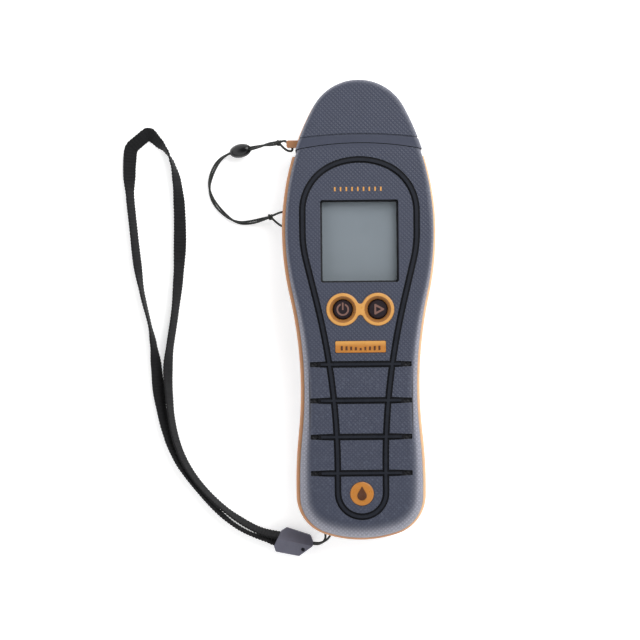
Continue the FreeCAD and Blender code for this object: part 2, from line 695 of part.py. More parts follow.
def make_board():
    """Circuit board with its chip, small parts, buzzer and screws."""
    plate = padded("board_plate", ("0", "0", "board_low"), [
        ("-board_half", "board_start"), ("board_half", "board_start"), ("board_half", "board_end"),
        ("-board_half", "board_end")], "board_high - board_low")
    holes = [rod("board_hole_%d" % number, (x, y, "board_low - 1"), "1", "4")
             for number, (x, y) in enumerate(four(POST_PLACES))]
    node(less("main_board", plate, *holes))
    node(block("control_chip", (-5, 5), (19, 29), ("board_low - 1.5", "board_low")))
    node(turned("buzzer", ("9.5", "36", "board_low - 4"), [
        ("1", "0"), ("4.6", "0"), ("4.6", "4"), ("0", "4"), ("0", "1.4"), ("1", "1.4")], "z"))
    parts = [block("small_part_%d" % number, (x, x + long), (y, y + wide),
                   ("board_low - %s" % tall, "board_low"))
             for number, (x, y, long, wide, tall) in enumerate((
                 (-12, 30, 3.2, 1.6, 1), (-12, 25, 3.2, 1.6, 1), (-12, 20, 3.2, 1.6, 1), (-11, 8, 6, 2.4, 2),
                 (7, 14, 2, 1.2, 0.8), (7, 10, 2, 1.2, 0.8), (-3, 40, 4, 4, 1.2)))]
    node(group("board_components", *parts))
    screws = [joined("board_screw_%d" % number,
                     rod("board_screw_head_%d" % number, (x, y, "board_low - 1.2"), "1.7", "1.2"),
                     rod("board_screw_shank_%d" % number, (x, y, "board_low - 0.2"), "0.8", "5.4"))
              for number, (x, y) in enumerate(four(POST_PLACES))]
    node(group("board_screws", *screws))


make_display()
make_board()


# -------------------------------------------------------------------- buttons
def power_symbol():
    """A broken ring with an upright bar in its gap."""
    ring = less("power_ring",
                rod("power_ring_outside", ("-button_x", "button_y", "button_top"), "2.4", "glyph_high"),
                rod("power_ring_inside", ("-button_x", "button_y", "button_top - 1"), "1.75", "3"),
                block("power_ring_gap", ("-button_x - 0.8", "-button_x + 0.8"), ("button_y", "button_y + 4"),
                      ("button_top - 1", "button_top + 1")))
    bar = block("power_bar", ("-button_x - 0.3", "-button_x + 0.3"), ("button_y - 0.2", "button_y + 2.7"),
                ("button_top", "button_top + glyph_high"))
    return group("power_symbol", ring, bar)


def mode_symbol():
    """The outline of a triangle that points to the right."""
    x, y = size["button_x"] + 0.4, size["button_y"]
    outside = [(x + 1.75, y, 0.35), (x - 1.35, y - 1.7, 0.35), (x - 1.35, y + 1.7, 0.35)]
    inside = [(x + 0.75, y, 0.1), (x - 0.9, y - 0.85, 0.1), (x - 0.9, y + 0.85, 0.1)]
    return less("mode_symbol",
                prism("mode_outside", closed_outline(outside), "button_top", "button_top + glyph_high"),
                prism("mode_inside", closed_outline(inside), "button_top - 1", "button_top + 1"))


def make_button(name, x):
    """One button: the cap with its flange, its plunger and the key switch under it."""
    node(turned(name + "_button", (x, "button_y", "0"), [
        ("0", "flange_low"), ("flange_radius", "flange_low"), ("flange_radius", "flange_high"),
        ("button_radius", "flange_high"), ("button_radius", "button_top - 0.5"),
        ("button_radius - 0.5", "button_top"), ("0", "button_top")], "z"))
    node(rod(name + "_plunger", (x, "button_y", "plunger_low"), "plunger_radius", "flange_low - plunger_low"))
    body = block(name + "_switch_block", (x + " - switch_half", x + " + switch_half"),
                 ("button_y - switch_half", "button_y + switch_half"), ("board_high", "switch_high"))
    well = rod(name + "_switch_well", (x, "button_y", "plunger_low - button_travel - 0.3"),
               "plunger_radius + clearance", "5")
    node(less(name + "_switch", body, well))


make_button("power", "-button_x")
make_button("mode", "button_x")
node(power_symbol())
node(mode_symbol())

bezel = rounded("bezel_plate",
                prism("bezel_prism", closed_outline(bezel_outline(), 0.05), "bezel_low", "bezel_top"),
                even(flat_at(size["bezel_top"]), 0.35))
DISHES = [cone("dish_" + name, (x, "button_y", "bezel_low + 0.5"), "button_radius + clearance", "bezel_dish",
               "bezel_top - bezel_low - 0.5") for name, x in (("left", "-button_x"), ("right", "button_x"))]
BORES = [rod("dish_bore_" + name, (x, "button_y", "bezel_low - 1"), "button_radius + clearance", "2")
         for name, x in (("left", "-button_x"), ("right", "button_x"))]
node(less("button_bezel", bezel, *DISHES, *BORES))


# ------------------------------------------------------- inlay and face badges
def make_grip_inlay():
    """Black rubber loop with four cross bars, each with a raised rib."""
    loop = ring_prism("loop_base", inlay_outline(), size["inlay_wide"], "groove_floor", "inlay_top")
    rib = ring_prism("loop_rib", inlay_outline(), size["inlay_rib"], "groove_floor", "rib_top")
    pieces = [loop, rib]
    for number, y in enumerate(BARS):
        pieces.append(prism("bar_%d" % number, bar_wire(y, size["bar_inlay_half"], size["bar_play"]),
                            "groove_floor", "inlay_top"))
        pieces.append(block("bar_rib_%d" % number, ("-bar_inlay_half + 1", "bar_inlay_half - 1"),
                            (y - 0.45, y + 0.45), ("groove_floor", "rib_top")))
    node(joined("grip_inlay", *pieces))


def make_badges():
    """Badge plate with a graduated scale, and a round badge with a water drop."""
    plate = prism("badge_plate", closed_outline(
        box_outline(size["badge_half_wide"] - 0.1, size["badge_half_high"] - 0.1, size["badge_y"], 0.5)),
        "badge_low", "badge_top")
    node(plate)
    ticks = [block("tick_%d" % step, (step * 1.8 - 0.35, step * 1.8 + 0.35),
                   ("badge_y - 1.3", "badge_y - 0.5 + %s" % (0.4 * abs(step) ** 0.5)),
                   ("badge_top", "badge_top + glyph_high")) for step in range(-4, 5)]
    node(group("badge_ticks", *ticks))
    disc = rod("disc_blank", ("0", "disc_y", "badge_low"), "disc_radius - 0.1", "badge_top - badge_low")
    disc_badge = rounded("disc_badge", disc, even(flat_at(size["badge_top"]), 0.4))
    node(disc_badge)
    drop = [(0, size["disc_y"] + 2.6, 0.15), (0, size["disc_y"] - 0.7, 1.8)]
    node(prism("drop_symbol", closed_outline(drop), "badge_top", "badge_top + glyph_high"))


make_grip_inlay()
make_badges()


# -------------------------------------------------------------------- battery
def make_battery():
    """Two cells, their contacts and the hinged door."""
    for name, sign, nub_up in (("left", "-", True), ("right", "", False)):
        ends = ("cell_start", "cell_start + cell_long - nub_long", "cell_start + cell_long")
        if not nub_up:
            ends = ("cell_start + cell_long", "cell_start + nub_long", "cell_start")
        node(turned("battery_cell_" + name, (sign + "cell_x", "0", "cell_z"), [
            ("0", ends[0]), ("cell_radius", ends[0]), ("cell_radius", ends[1]), ("nub_radius", ends[1]),
            ("nub_radius", ends[2]), ("0", ends[2])]))
    domes = [cone("bridge_dome_%s" % name, (x, "bay_start + 0.4", "cell_z"), "3", "1.2", "1.5")
             for name, x in (("left", "-cell_x"), ("right", "cell_x"))]
    for dome in domes:
        dome.Placement.Rotation = TURNS["y"]
    plate = block("bridge_plate", (-13, 13), ("bay_start", "bay_start + 0.4"), (5, 16))
    node(joined("contact_bridge", plate, *domes))
    for name, x in (("positive", "-cell_x"), ("negative", "cell_x")):
        node(joined("contact_" + name,
                    block(name + "_plate", (x + " - 5", x + " + 5"), ("bay_end - 0.4", "bay_end"),
                          (5, "bay_top + 0.4")),
                    block(name + "_shelf", (x + " - 2", x + " + 2"), ("bay_end - 0.4", "bay_end + 3.6"),
                          ("bay_top", "bay_top + 0.4")),
                    block(name + "_leg", (x + " - 2", x + " + 2"), ("bay_end + 3.2", "bay_end + 3.6"),
                          ("bay_top", "board_low"))))
    plate = joined("door_plate",
                   block("door_slab", ("-door_half", "door_half"), ("hinge_y", "bay_end - clearance"),
                         ("door_low", "door_high")),
                   rod("door_barrel", ("-door_half", "hinge_y", "hinge_z"), "door_high - hinge_z",
                       "2 * door_half", "x"),
                   rod("door_stubs", ("-trunnion_out", "hinge_y", "hinge_z"), "trunnion_radius",
                       "2 * trunnion_out", "x"),
                   block("door_latch", (-4, 4), ("bay_end - clearance - 1.2", "bay_end - clearance"),
                         ("door_high - 0.5", "door_high + 0.4")))
    lines = [block("door_line_%d" % step, (-6, 6), (-24 + step * 1.5, -23.3 + step * 1.5),
                   (-1, "door_low + 0.4"))
             for step in range(3)]
    node(less("battery_door", plate, *lines))
    node(block("door_pad", (-11, 11), (-62, -28), ("door_high", "door_high + 0.35")))


def make_case_screws():
    """Four case screws with cross recesses."""
    screws = []
    for number, (x, y) in enumerate(four(SCREW_PLACES)):
        head = rod("screw_head_%d" % number, (x, y, "screw_low"), "screw_head", "sink_deep - screw_low")
        shank = rod("screw_shank_%d" % number, (x, y, "sink_deep - 0.2"), "screw_radius",
                    "screw_end - sink_deep")
        slots = [block("slot_a_%d" % number, (x + " - 1.5", x + " + 1.5"), (y + " - 0.3", y + " + 0.3"),
                       ("screw_low - 1", "screw_low + 1.2")),
                 block("slot_b_%d" % number, (x + " - 0.3", x + " + 0.3"), (y + " - 1.5", y + " + 1.5"),
                       ("screw_low - 1", "screw_low + 1.2"))]
        screws.append(less("case_screw_%d" % number, joined("screw_blank_%d" % number, head, shank), *slots))
    node(group("case_screws", *screws))


make_battery()
make_case_screws()


# ---------------------------------------------------------------------- cords
def rounded_route(points):
    """Straight runs joined by tangent arcs, each as large as its two runs allow, and the arcs' radii."""
    points = [V(*point) for point in points]
    pieces = []
    radii = []
    start = points[0]
    for before, corner, after in zip(points, points[1:], points[2:]):
        into, out = (corner - before), (after - corner)
        shorter = min(into.Length, out.Length)
        turn = into.getAngle(out)
        into.normalize()
        out.normalize()
        reach = 0.45 * shorter
        radius = reach / math.tan(turn / 2)
        first, second = corner - into * reach, corner + out * reach
        inward = (out - into).normalize()
        middle = corner + inward * (radius / math.cos(turn / 2) - radius)
        pieces.append(Part.makeLine(start, first))
        pieces.append(Part.Arc(first, middle, second).toShape())
        radii.append(round(radius, 1))
        start = second
    pieces.append(Part.makeLine(start, points[-1]))
    return Part.Wire(pieces), radii


def tube(name, points, radius):
    """A round cord along a route."""
    path, radii = rounded_route(points)
    first = path.Edges[0]
    direction = first.tangentAt(first.FirstParameter)
    section = Part.Wire(Part.makeCircle(radius, V(*points[0]), direction))
    solid = path.makePipeShell([section], True, True)
    expected = math.pi * radius ** 2 * path.Length
    print("%s: length %.1f, radii %s, volume %.1f of %.1f"
          % (name, path.Length, radii, solid.Volume, expected))
    return drawn(name, solid)


def side_line(path, offset):
    """A flat route of lines and arcs moved sideways."""
    edges = []
    for edge in path.Edges:
        span = edge.LastParameter - edge.FirstParameter
        marks = [edge.FirstParameter + part * span for part in (0, 0.5, 1)]
        moved = [edge.valueAt(mark) + UP.cross(edge.tangentAt(mark)) * offset for mark in marks]
        if isinstance(edge.Curve, Part.Circle):
            edges.append(Part.Arc(*moved).toShape())
        else:
            edges.append(Part.makeLine(moved[0], moved[2]))
    return edges


def ribbon(name, points, thick, high):
    """Webbing that stands on its edge along a flat route."""
    path, radii = rounded_route([(x, y, 0) for x, y in points])
    left, right = side_line(path, thick / 2), side_line(path, -thick / 2)
    ends = [Part.makeLine(left[0].firstVertex().Point, right[0].firstVertex().Point),
            Part.makeLine(left[-1].lastVertex().Point, right[-1].lastVertex().Point)]
    outline = Part.Wire(Part.__sortEdges__(left + right + ends))
    solid = Part.Face(outline).extrude(UP * high)
    print("%s: length %.1f, radii %s, volume %.1f of %.1f"
          % (name, path.Length, radii, solid.Volume, path.Length * thick * high))
    return drawn(name, solid)


TETHER_ROUTE = [(-32.3, 65.9, 11.2), (-36.0, 65.6, 8.6), (-51.3, 63.0, 1.45), (-55.3, 60.2, 1.1),
                (-58.0, 55.2, 1.1), (-59.3, 49.6, 1.1), (-57.5, 43.8, 1.1), (-53.0, 38.6, 1.1),
                (-48.0, 35.3, 1.1), (-42.3, 35.5, 1.3), (-35.9, 37.2, 3.2)]
CAP_KNOT = (-30.9, 66.1, 12.2)
CASE_KNOT = (-34.7, 37.6, 3.6)
CAP_LOOP = [(-28.9, 66.9, 13.7), (-27.4, 65.8, 14), (-25.2, 63.4, 14), (-26.3, 62.3, 13.6),
            (-28.9, 63.5, 12.9)]
CASE_LOOP = [(-31.7, 38.9, 6.6), (-29.2, 39.3, 8), (-24.9, 39.3, 8), (-24.9, 33.2, 8), (-29.2, 33.2, 8),
             (-31.9, 34.6, 6.4)]
SEAM_BEHIND = FreeCAD.Rotation(UP, 180)
BEAD_CENTRE = (-46.4, 63.83, 3.74)
BEAD_AXIS = V(*TETHER_ROUTE[1]) - V(*TETHER_ROUTE[2])
STRAP_LOOP_ROUTE = [(-23.0, -91.0, 3.8), (-18.3, -92.0, 3.8), (-15.2, -91.6, 4.8), (-12.6, -89.6, 6.3),
                    (-11.6, -86.6, 7), (-11.6, -82.6, 7), (-14.4, -82.6, 7), (-14.4, -86.6, 7),
                    (-13.9, -89.7, 5.7), (-15.4, -92.0, 3.6), (-18.2, -92.8, 2.3), (-22.8, -91.8, 2.3)]
STRAP_ROUTE = [(-33.1, -91.5), (-38.0, -89.4), (-45.5, -86.9), (-54.9, -81.3), (-63.8, -72.6),
               (-71.5, -61.4), (-77.3, -49.3), (-80.3, -36.0), (-81.5, -21.0), (-83.3, -6.0),
               (-86.9, 11.5), (-88.7, 29.0), (-89.9, 45.6), (-90.3, 60.5), (-87.0, 69.3), (-80.0, 70.6),
               (-74.2, 66.0), (-71.5, 56.5), (-70.3, 43.0), (-70.3, 27.0), (-71.7, 11.0), (-74.1, -6.5),
               (-75.2, -22.0), (-74.8, -37.0), (-72.5, -50.5), (-67.3, -63.5), (-60.0, -73.0),
               (-50.8, -79.6), (-42.3, -83.6), (-36.7, -86.3), (-31.9, -88.4)]


def tied(route, knot):
    """A loop's route with both its ends inside a knot."""
    centre = V(*knot)
    ends = [centre + (V(*point) - centre).normalize() * size["knot_reach"] for point in (route[0], route[-1])]
    return [tuple(ends[0])] + route + [tuple(ends[1])]


def make_tether():
    """Cap tether: two thin cords side by side through a bead, with a knot and a loop at each end."""
    node(tube("tether_cord", TETHER_ROUTE, size["tether_radius"]))
    for name, route, knot in (("tether_cap_loop", CAP_LOOP, CAP_KNOT),
                              ("tether_case_loop", CASE_LOOP, CASE_KNOT)):
        ball = bind(doc.addObject("Part::Sphere", name + "_knot"), Radius="knot_radius")
        ball.Placement = FreeCAD.Placement(V(*knot), SEAM_BEHIND)
        node(joined(name, tube(name + "_cord", tied(route, knot), size["cord_radius"]), ball))
    bead = doc.addObject("Part::Ellipsoid", "bead_body")
    bind(bead, Radius1="bead_long / 2", Radius2="bead_radius", Radius3="bead_radius")
    bore = rod("bead_hole", ("0", "0", "-bead_long"), "bead_bore", "2 * bead_long")
    drilled = node(less("tether_bead", bead, bore))
    drilled.Placement = FreeCAD.Placement(V(*BEAD_CENTRE), FreeCAD.Rotation(UP, BEAD_AXIS))


def make_strap():
    """Wrist strap: moulded clasp, webbing loop up to its faces and the thin cord loop through the case."""
    corners = [(-1.6, -3.1), (0, 2.9), (1.9, 4.7), (11.8, 3.6), (13.9, 0.4), (8.9, -5.1), (-0.5, -5.2)]
    plan = Part.makePolygon([V(x, y, 0) for x, y in corners + corners[:1]])
    nose_x, nose_round, corner_round = 13, 1.6, 0.7

    def radii(edge):
        if upright(edge):
            return (nose_round if edge.firstVertex().X > nose_x else corner_round,) * 2
        return None
    blank = rounded("clasp_blank", prism("clasp_prism", plan, "0", "clasp_high"), radii)
    slopes = []
    for name, tilt in (("steep", -40), ("gentle", 13)):
        slope = doc.addObject("Part::Box", "clasp_slope_" + name)
        bind(slope, Length="40", Width="20", Height="20")
        turn = FreeCAD.Rotation(V(1, 0, 0), tilt)
        pivot = turn.multVec(V(0, 0 if tilt < 0 else 20, 0))
        slope.Placement = FreeCAD.Placement(V(-10, 0, size["clasp_high"]) - pivot, turn)
        slopes.append(slope)
    dimple = rod("clasp_dimple", ("9.9", "-2.2", "clasp_high - 1.9"), "0.8", "5")
    formed = less("clasp_formed", blank, *slopes, dimple)
    turn = FreeCAD.Rotation(UP, -12)
    formed.Placement = FreeCAD.Placement(V(-32.3, -90, 0), turn)
    holes = []
    for name, exit_point in (("upper", STRAP_LOOP_ROUTE[0]), ("lower", STRAP_LOOP_ROUTE[-1])):
        hole = rod("clasp_hole_" + name, exit_point, "clasp_hole", "9")
        outward = V(*STRAP_LOOP_ROUTE[1 if name == "upper" else -2]) - V(*exit_point)
        hole.Placement.Rotation = FreeCAD.Rotation(UP, outward)
        holes.append(hole)
    clasp = node(less("strap_clasp", formed, *holes))
    band = ribbon("strap_band", STRAP_ROUTE, size["webbing_thick"], size["webbing_wide"])
    node(less("strap_webbing", band, clasp))
    node(tube("strap_loop_cord", STRAP_LOOP_ROUTE, size["cord_radius"]))


make_tether()
make_strap()


# ------------------------------------------------------------- check and write
def check_and_write():
    """Stop on any failed object, then write one file for each sub-part."""
    doc.recompute()
    for item in doc.Objects:
        if "Invalid" in item.State or "Error" in item.State:
            raise RuntimeError("%s failed: %s" % (item.Label, item.State))
    os.makedirs("parts", exist_ok=True)
    for piece in NODES:
        shape = piece.Shape
        if shape.isNull() or not shape.isValid() or not shape.Solids:
            raise RuntimeError(piece.Label + " has no valid solid")
        shape.exportStep("parts/%s.step" % piece.Label)
        print("%-22s %2d solids %10.1f mm3" % (piece.Label, len(shape.Solids), shape.Volume))
    print(len(NODES), "nodes")


check_and_write()
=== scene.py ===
"""Looks of a pocket pin moisture meter with its tethered cap and wrist strap.

Everything is in metres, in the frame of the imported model: the meter lies on its back at z = 0 and +Y
points to the pins.
"""

import math

import bpy
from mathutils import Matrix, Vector


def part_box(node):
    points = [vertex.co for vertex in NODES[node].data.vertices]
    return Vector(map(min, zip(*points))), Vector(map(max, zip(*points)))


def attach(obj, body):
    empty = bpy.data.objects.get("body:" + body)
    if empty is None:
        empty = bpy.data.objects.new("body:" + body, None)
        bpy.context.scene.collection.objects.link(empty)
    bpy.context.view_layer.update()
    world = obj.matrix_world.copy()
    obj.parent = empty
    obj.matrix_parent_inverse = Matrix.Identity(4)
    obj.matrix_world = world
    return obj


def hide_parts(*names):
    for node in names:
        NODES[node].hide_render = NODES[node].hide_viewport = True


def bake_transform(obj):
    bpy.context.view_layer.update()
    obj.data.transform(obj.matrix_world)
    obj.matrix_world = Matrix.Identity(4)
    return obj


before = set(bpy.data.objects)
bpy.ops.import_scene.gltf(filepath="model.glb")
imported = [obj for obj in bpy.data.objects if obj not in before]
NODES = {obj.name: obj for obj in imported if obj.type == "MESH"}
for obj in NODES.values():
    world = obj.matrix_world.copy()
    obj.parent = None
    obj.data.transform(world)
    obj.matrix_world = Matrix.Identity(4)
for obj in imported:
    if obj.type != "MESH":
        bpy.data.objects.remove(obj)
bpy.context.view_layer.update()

MM = 0.001
UP = Vector((0, 0, 1))
SCENE = bpy.context.scene


def mm(*numbers):
    """A point given in millimetres."""
    return Vector(numbers) * MM


# --------------------------------------------------------------- camera and light
def make_camera():
    """A camera straight above, turned a little so that the meter leans left."""
    data = bpy.data.cameras.new("camera")
    data.lens = 100
    data.sensor_width = 36
    data.clip_start = 0.01
    data.clip_end = 20
    camera = bpy.data.objects.new("camera", data)
    camera.location = mm(-15.45, -3.52, 708.5)
    camera.rotation_euler = (0, 0, math.radians(-0.55))
    SCENE.collection.objects.link(camera)
    SCENE.camera = camera


def make_lamp(name, place, aim, side, power):
    """A square soft box that points at a place."""
    data = bpy.data.lights.new(name, "AREA")
    data.size = side
    data.energy = power
    lamp = bpy.data.objects.new(name, data)
    lamp.location = place
    lamp.rotation_euler = (Vector(aim) - Vector(place)).to_track_quat("-Z", "Y").to_euler()
    SCENE.collection.objects.link(lamp)


WALL_LIGHT = 1.5
WALL_TOP = 0.5
CEILING_EDGE = 0.97
CEILING_LIGHT = 0.12
FLOOR_GLOW = 0.45


def make_studio():
    """White walls under a dark ceiling, one soft key light from the upper right and a pale floor."""
    SCENE.view_settings.view_transform = "Standard"
    world = bpy.data.worlds.new("studio")
    world.use_nodes = True
    nodes, links = world.node_tree.nodes, world.node_tree.links
    direction = nodes.new("ShaderNodeTexCoord")
    height = nodes.new("ShaderNodeSeparateXYZ")
    fall = nodes.new("ShaderNodeMapRange")
    fall.interpolation_type = "SMOOTHSTEP"
    for name, value in (("From Min", WALL_TOP), ("From Max", CEILING_EDGE),
                        ("To Min", WALL_LIGHT), ("To Max", CEILING_LIGHT)):
        fall.inputs[name].default_value = value
    links.new(direction.outputs["Generated"], height.inputs[0])
    links.new(height.outputs["Z"], fall.inputs["Value"])
    links.new(fall.outputs[0], nodes["Background"].inputs["Strength"])
    nodes["Background"].inputs["Color"].default_value = (1, 1, 1, 1)
    SCENE.world = world
    make_lamp("key", (0.42, 0.5, 0.75), (0, 0, 0), 0.6, 7)
    half, level = 3, -0.05 * MM
    mesh = bpy.data.meshes.new("floor")
    corners = [(-half, -half, level), (half, -half, level), (half, half, level), (-half, half, level)]
    mesh.from_pydata(corners, [], [(0, 1, 2, 3)])
    floor = bpy.data.objects.new("floor", mesh)
    SCENE.collection.objects.link(floor)
    paper = Shader("floor_paper", (0.9, 0.9, 0.9), 0.7,
                   **{"Emission Color": (1, 1, 1, 1), "Emission Strength": FLOOR_GLOW})
    paper.tinted(paper.noise(90, 2), 0.02)
    mesh.materials.append(paper.material)


# ---------------------------------------------------------------- material helper
class Shader:
    """A Principled material and the few node patterns that the meter's finishes are made of."""

    def __init__(self, name, colour, roughness, **values):
        self.material = bpy.data.materials.new(name)
        self.material.use_nodes = True
        self.tree = self.material.node_tree
        self.surface = self.tree.nodes["Principled BSDF"]
        self.colour = (*colour, 1)
        self.roughness = roughness
        self.height = None
        self.surface.inputs["Base Color"].default_value = self.colour
        self.surface.inputs["Roughness"].default_value = roughness
        for socket, value in values.items():
            self.surface.inputs[socket.replace("_", " ")].default_value = value
        self.place = self.add("ShaderNodeTexCoord").outputs["Object"]

    def add(self, kind, settings=None, **inputs):
        """A node; inputs are numbers, colours or other nodes' outputs, by socket name or number."""
        node = self.tree.nodes.new(kind)
        for name, value in (settings or {}).items():
            setattr(node, name, value)
        for name, value in inputs.items():
            numbered = name[0] == "i" and name[1:].isdigit()
            socket = node.inputs[int(name[1:]) if numbered else name]
            if isinstance(value, bpy.types.NodeSocket):
                self.tree.links.new(value, socket)
            else:
                socket.default_value = value
        return node

    def math(self, operation, first, second=0.0):
        """One step of arithmetic."""
        return self.add("ShaderNodeMath", {"operation": operation}, i0=first, i1=second).outputs[0]

    def times(self, first, second):
        """The product of two masks."""
        return self.math("MULTIPLY", first, second)

    def noise(self, scale, detail=2.0, stretch=None):
        """Cloudy noise from 0 to 1, with its scale in waves per metre."""
        place = self.place
        if stretch:
            stretched = self.add("ShaderNodeVectorMath", {"operation": "MULTIPLY"}, i0=place, i1=stretch)
            place = stretched.outputs[0]
        return self.add("ShaderNodeTexNoise", Vector=place, Scale=scale, Detail=detail).outputs["Fac"]

    def ramp(self, value, low, high, to_low=0.0, to_high=1.0):
        """A value's range moved to another range, clamped, with soft ends."""
        return self.add("ShaderNodeMapRange", {"interpolation_type": "SMOOTHSTEP"}, Value=value,
                        **{"From Min": low, "From Max": high, "To Min": to_low, "To Max": to_high}).outputs[0]

    def mix(self, share, first, second):
        """A colour between two colours."""
        node = self.tree.nodes.new("ShaderNodeMix")
        node.data_type = "RGBA"
        for socket, value in ((node.inputs[0], share), (node.inputs[6], first), (node.inputs[7], second)):
            if isinstance(value, bpy.types.NodeSocket):
                self.tree.links.new(value, socket)
            else:
                socket.default_value = value if isinstance(value, (int, float)) else (*value[:3], 1)
        return node.outputs[2]

    def paint(self, colour):
        """Set the base colour from a node."""
        self.colour = colour
        self.tree.links.new(colour, self.surface.inputs["Base Color"])

    def tinted(self, pattern, strength):
        """Lighten and darken the colour by a pattern round a half."""
        dark = self.mix(1.0, self.colour, self.scaled(1 - strength * 2))
        light = self.mix(1.0, self.colour, self.scaled(1 + strength * 2))
        self.paint(self.mix(pattern, dark, light))

    def scaled(self, factor):
        """The colour so far, times a factor."""
        if isinstance(self.colour, bpy.types.NodeSocket):
            node = self.add("ShaderNodeVectorMath", {"operation": "SCALE"}, i0=self.colour)
            node.inputs["Scale"].default_value = factor
            return node.outputs[0]
        return tuple(channel * factor for channel in self.colour[:3])

    def overlay(self, mask, colour):
        """Lay another colour over the colour so far where a mask is 1."""
        self.paint(self.mix(mask, self.colour, colour))

    def rough(self, pattern, low, high):
        """Roughness that follows a pattern."""
        self.tree.links.new(self.ramp(pattern, 0.25, 0.75, low, high), self.surface.inputs["Roughness"])

    def bump(self, height, depth):
        """Relief: height from 0 to 1, depth in metres."""
        scaled = self.times(height, depth)
        self.height = scaled if self.height is None else self.math("ADD", self.height, scaled)

    def done(self):
        """Link the summed relief and give the material."""
        if self.height is not None:
            relief = self.add("ShaderNodeBump", Height=self.height, Distance=1.0, Strength=1.0)
            self.tree.links.new(relief.outputs[0], self.surface.inputs["Normal"])
        return self.material

    def axes(self, source=None):
        """The three numbers of a place."""
        return self.add("ShaderNodeSeparateXYZ", Vector=source or self.place).outputs

    def edge(self, radius):
        """1 near sharp edges and 0 on open faces."""
        soft = self.add("ShaderNodeBevel", {"samples": 4}, Radius=radius).outputs[0]
        true = self.add("ShaderNodeNewGeometry").outputs["Normal"]
        likeness = self.add("ShaderNodeVectorMath", {"operation": "DOT_PRODUCT"}, i0=soft, i1=true)
        return self.ramp(likeness.outputs["Value"], 0.99, 0.8)

    def slope(self):
        """1 on faces that lean outwards round the front edge, 0 on level faces, walls and the back."""
        level = self.axes(self.add("ShaderNodeTexCoord").outputs["Normal"])[2]
        return self.times(self.ramp(level, 0.995, 0.7), self.ramp(level, 0.1, 0.4))

    def flat_place(self):
        """Two numbers that run along the surface in metres: x and y on level faces, y or x and z on walls."""
        x, y, z = self.axes()
        normal = self.add("ShaderNodeTexCoord").outputs["Normal"]
        nx, ny, nz = (self.math("ABSOLUTE", axis) for axis in self.axes(normal))
        wall = self.math("LESS_THAN", nz, 0.55)
        sideways = self.math("GREATER_THAN", nx, ny)
        along = self.add("ShaderNodeMix", i0=sideways, i2=x, i3=y).outputs[0]
        first = self.add("ShaderNodeMix", i0=wall, i2=x, i3=along).outputs[0]
        second = self.add("ShaderNodeMix", i0=wall, i2=y, i3=z).outputs[0]
        return first, second

    def diamonds(self, pitch):
        """A fine diagonal cross-hatch of low pyramids: 1 on the tops and 0 in the grooves."""
        first, second = self.flat_place()
        ridges = []
        for operation in ("ADD", "SUBTRACT"):
            run = self.math("DIVIDE", self.math(operation, first, second), pitch * math.sqrt(2))
            saw = self.math("PINGPONG", run, 0.5)
            ridges.append(self.times(saw, 2))
        return self.math("MINIMUM", *ridges)


# ---------------------------------------------------------------------- finishes
HATCH_PITCH = 1.15 * MM
LIP_CENTRE_Y = (67.96 - 177) * MM
LIP_RADIUS = 177 * MM
CAP_START_Y = 61 * MM
BADGES_Y = -12 * MM
GRIP_Y = -20 * MM
BARS_END_Y = -68 * MM
BARS_END_X = 19.9 * MM
GROOVE_TOP_Z = 27.75 * MM
GROOVE_FLOOR_Z = 26.2 * MM
PEBBLES = 640


def cap_lip(shader, x, y):
    """1 on the smooth lip of the cap, between its groove and the case."""
    out = shader.math("SUBTRACT", y, LIP_CENTRE_Y)
    reach = shader.math("SQRT", shader.math("ADD", shader.times(x, x), shader.times(out, out)))
    below_groove = shader.ramp(reach, LIP_RADIUS - 0.3 * MM, LIP_RADIUS - 0.5 * MM)
    return shader.times(below_groove, shader.ramp(y, CAP_START_Y, CAP_START_Y + 3.2 * MM))


def painted_groove_shade(shader, x, y, z):
    """1 on the floors and walls of the grooves round the cross bars, where painted shade darkens them."""
    along = shader.times(shader.ramp(y, GRIP_Y + 2 * MM, GRIP_Y),
                         shader.ramp(y, BARS_END_Y, BARS_END_Y + 2 * MM))
    across = shader.ramp(shader.math("ABSOLUTE", x), BARS_END_X, BARS_END_X - 0.1 * MM)
    deep = shader.times(shader.ramp(z, GROOVE_TOP_Z, GROOVE_TOP_Z - 0.3 * MM),
                        shader.ramp(z, GROOVE_FLOOR_Z, GROOVE_FLOOR_Z + 0.25 * MM))
    return shader.times(shader.times(along, across), deep)


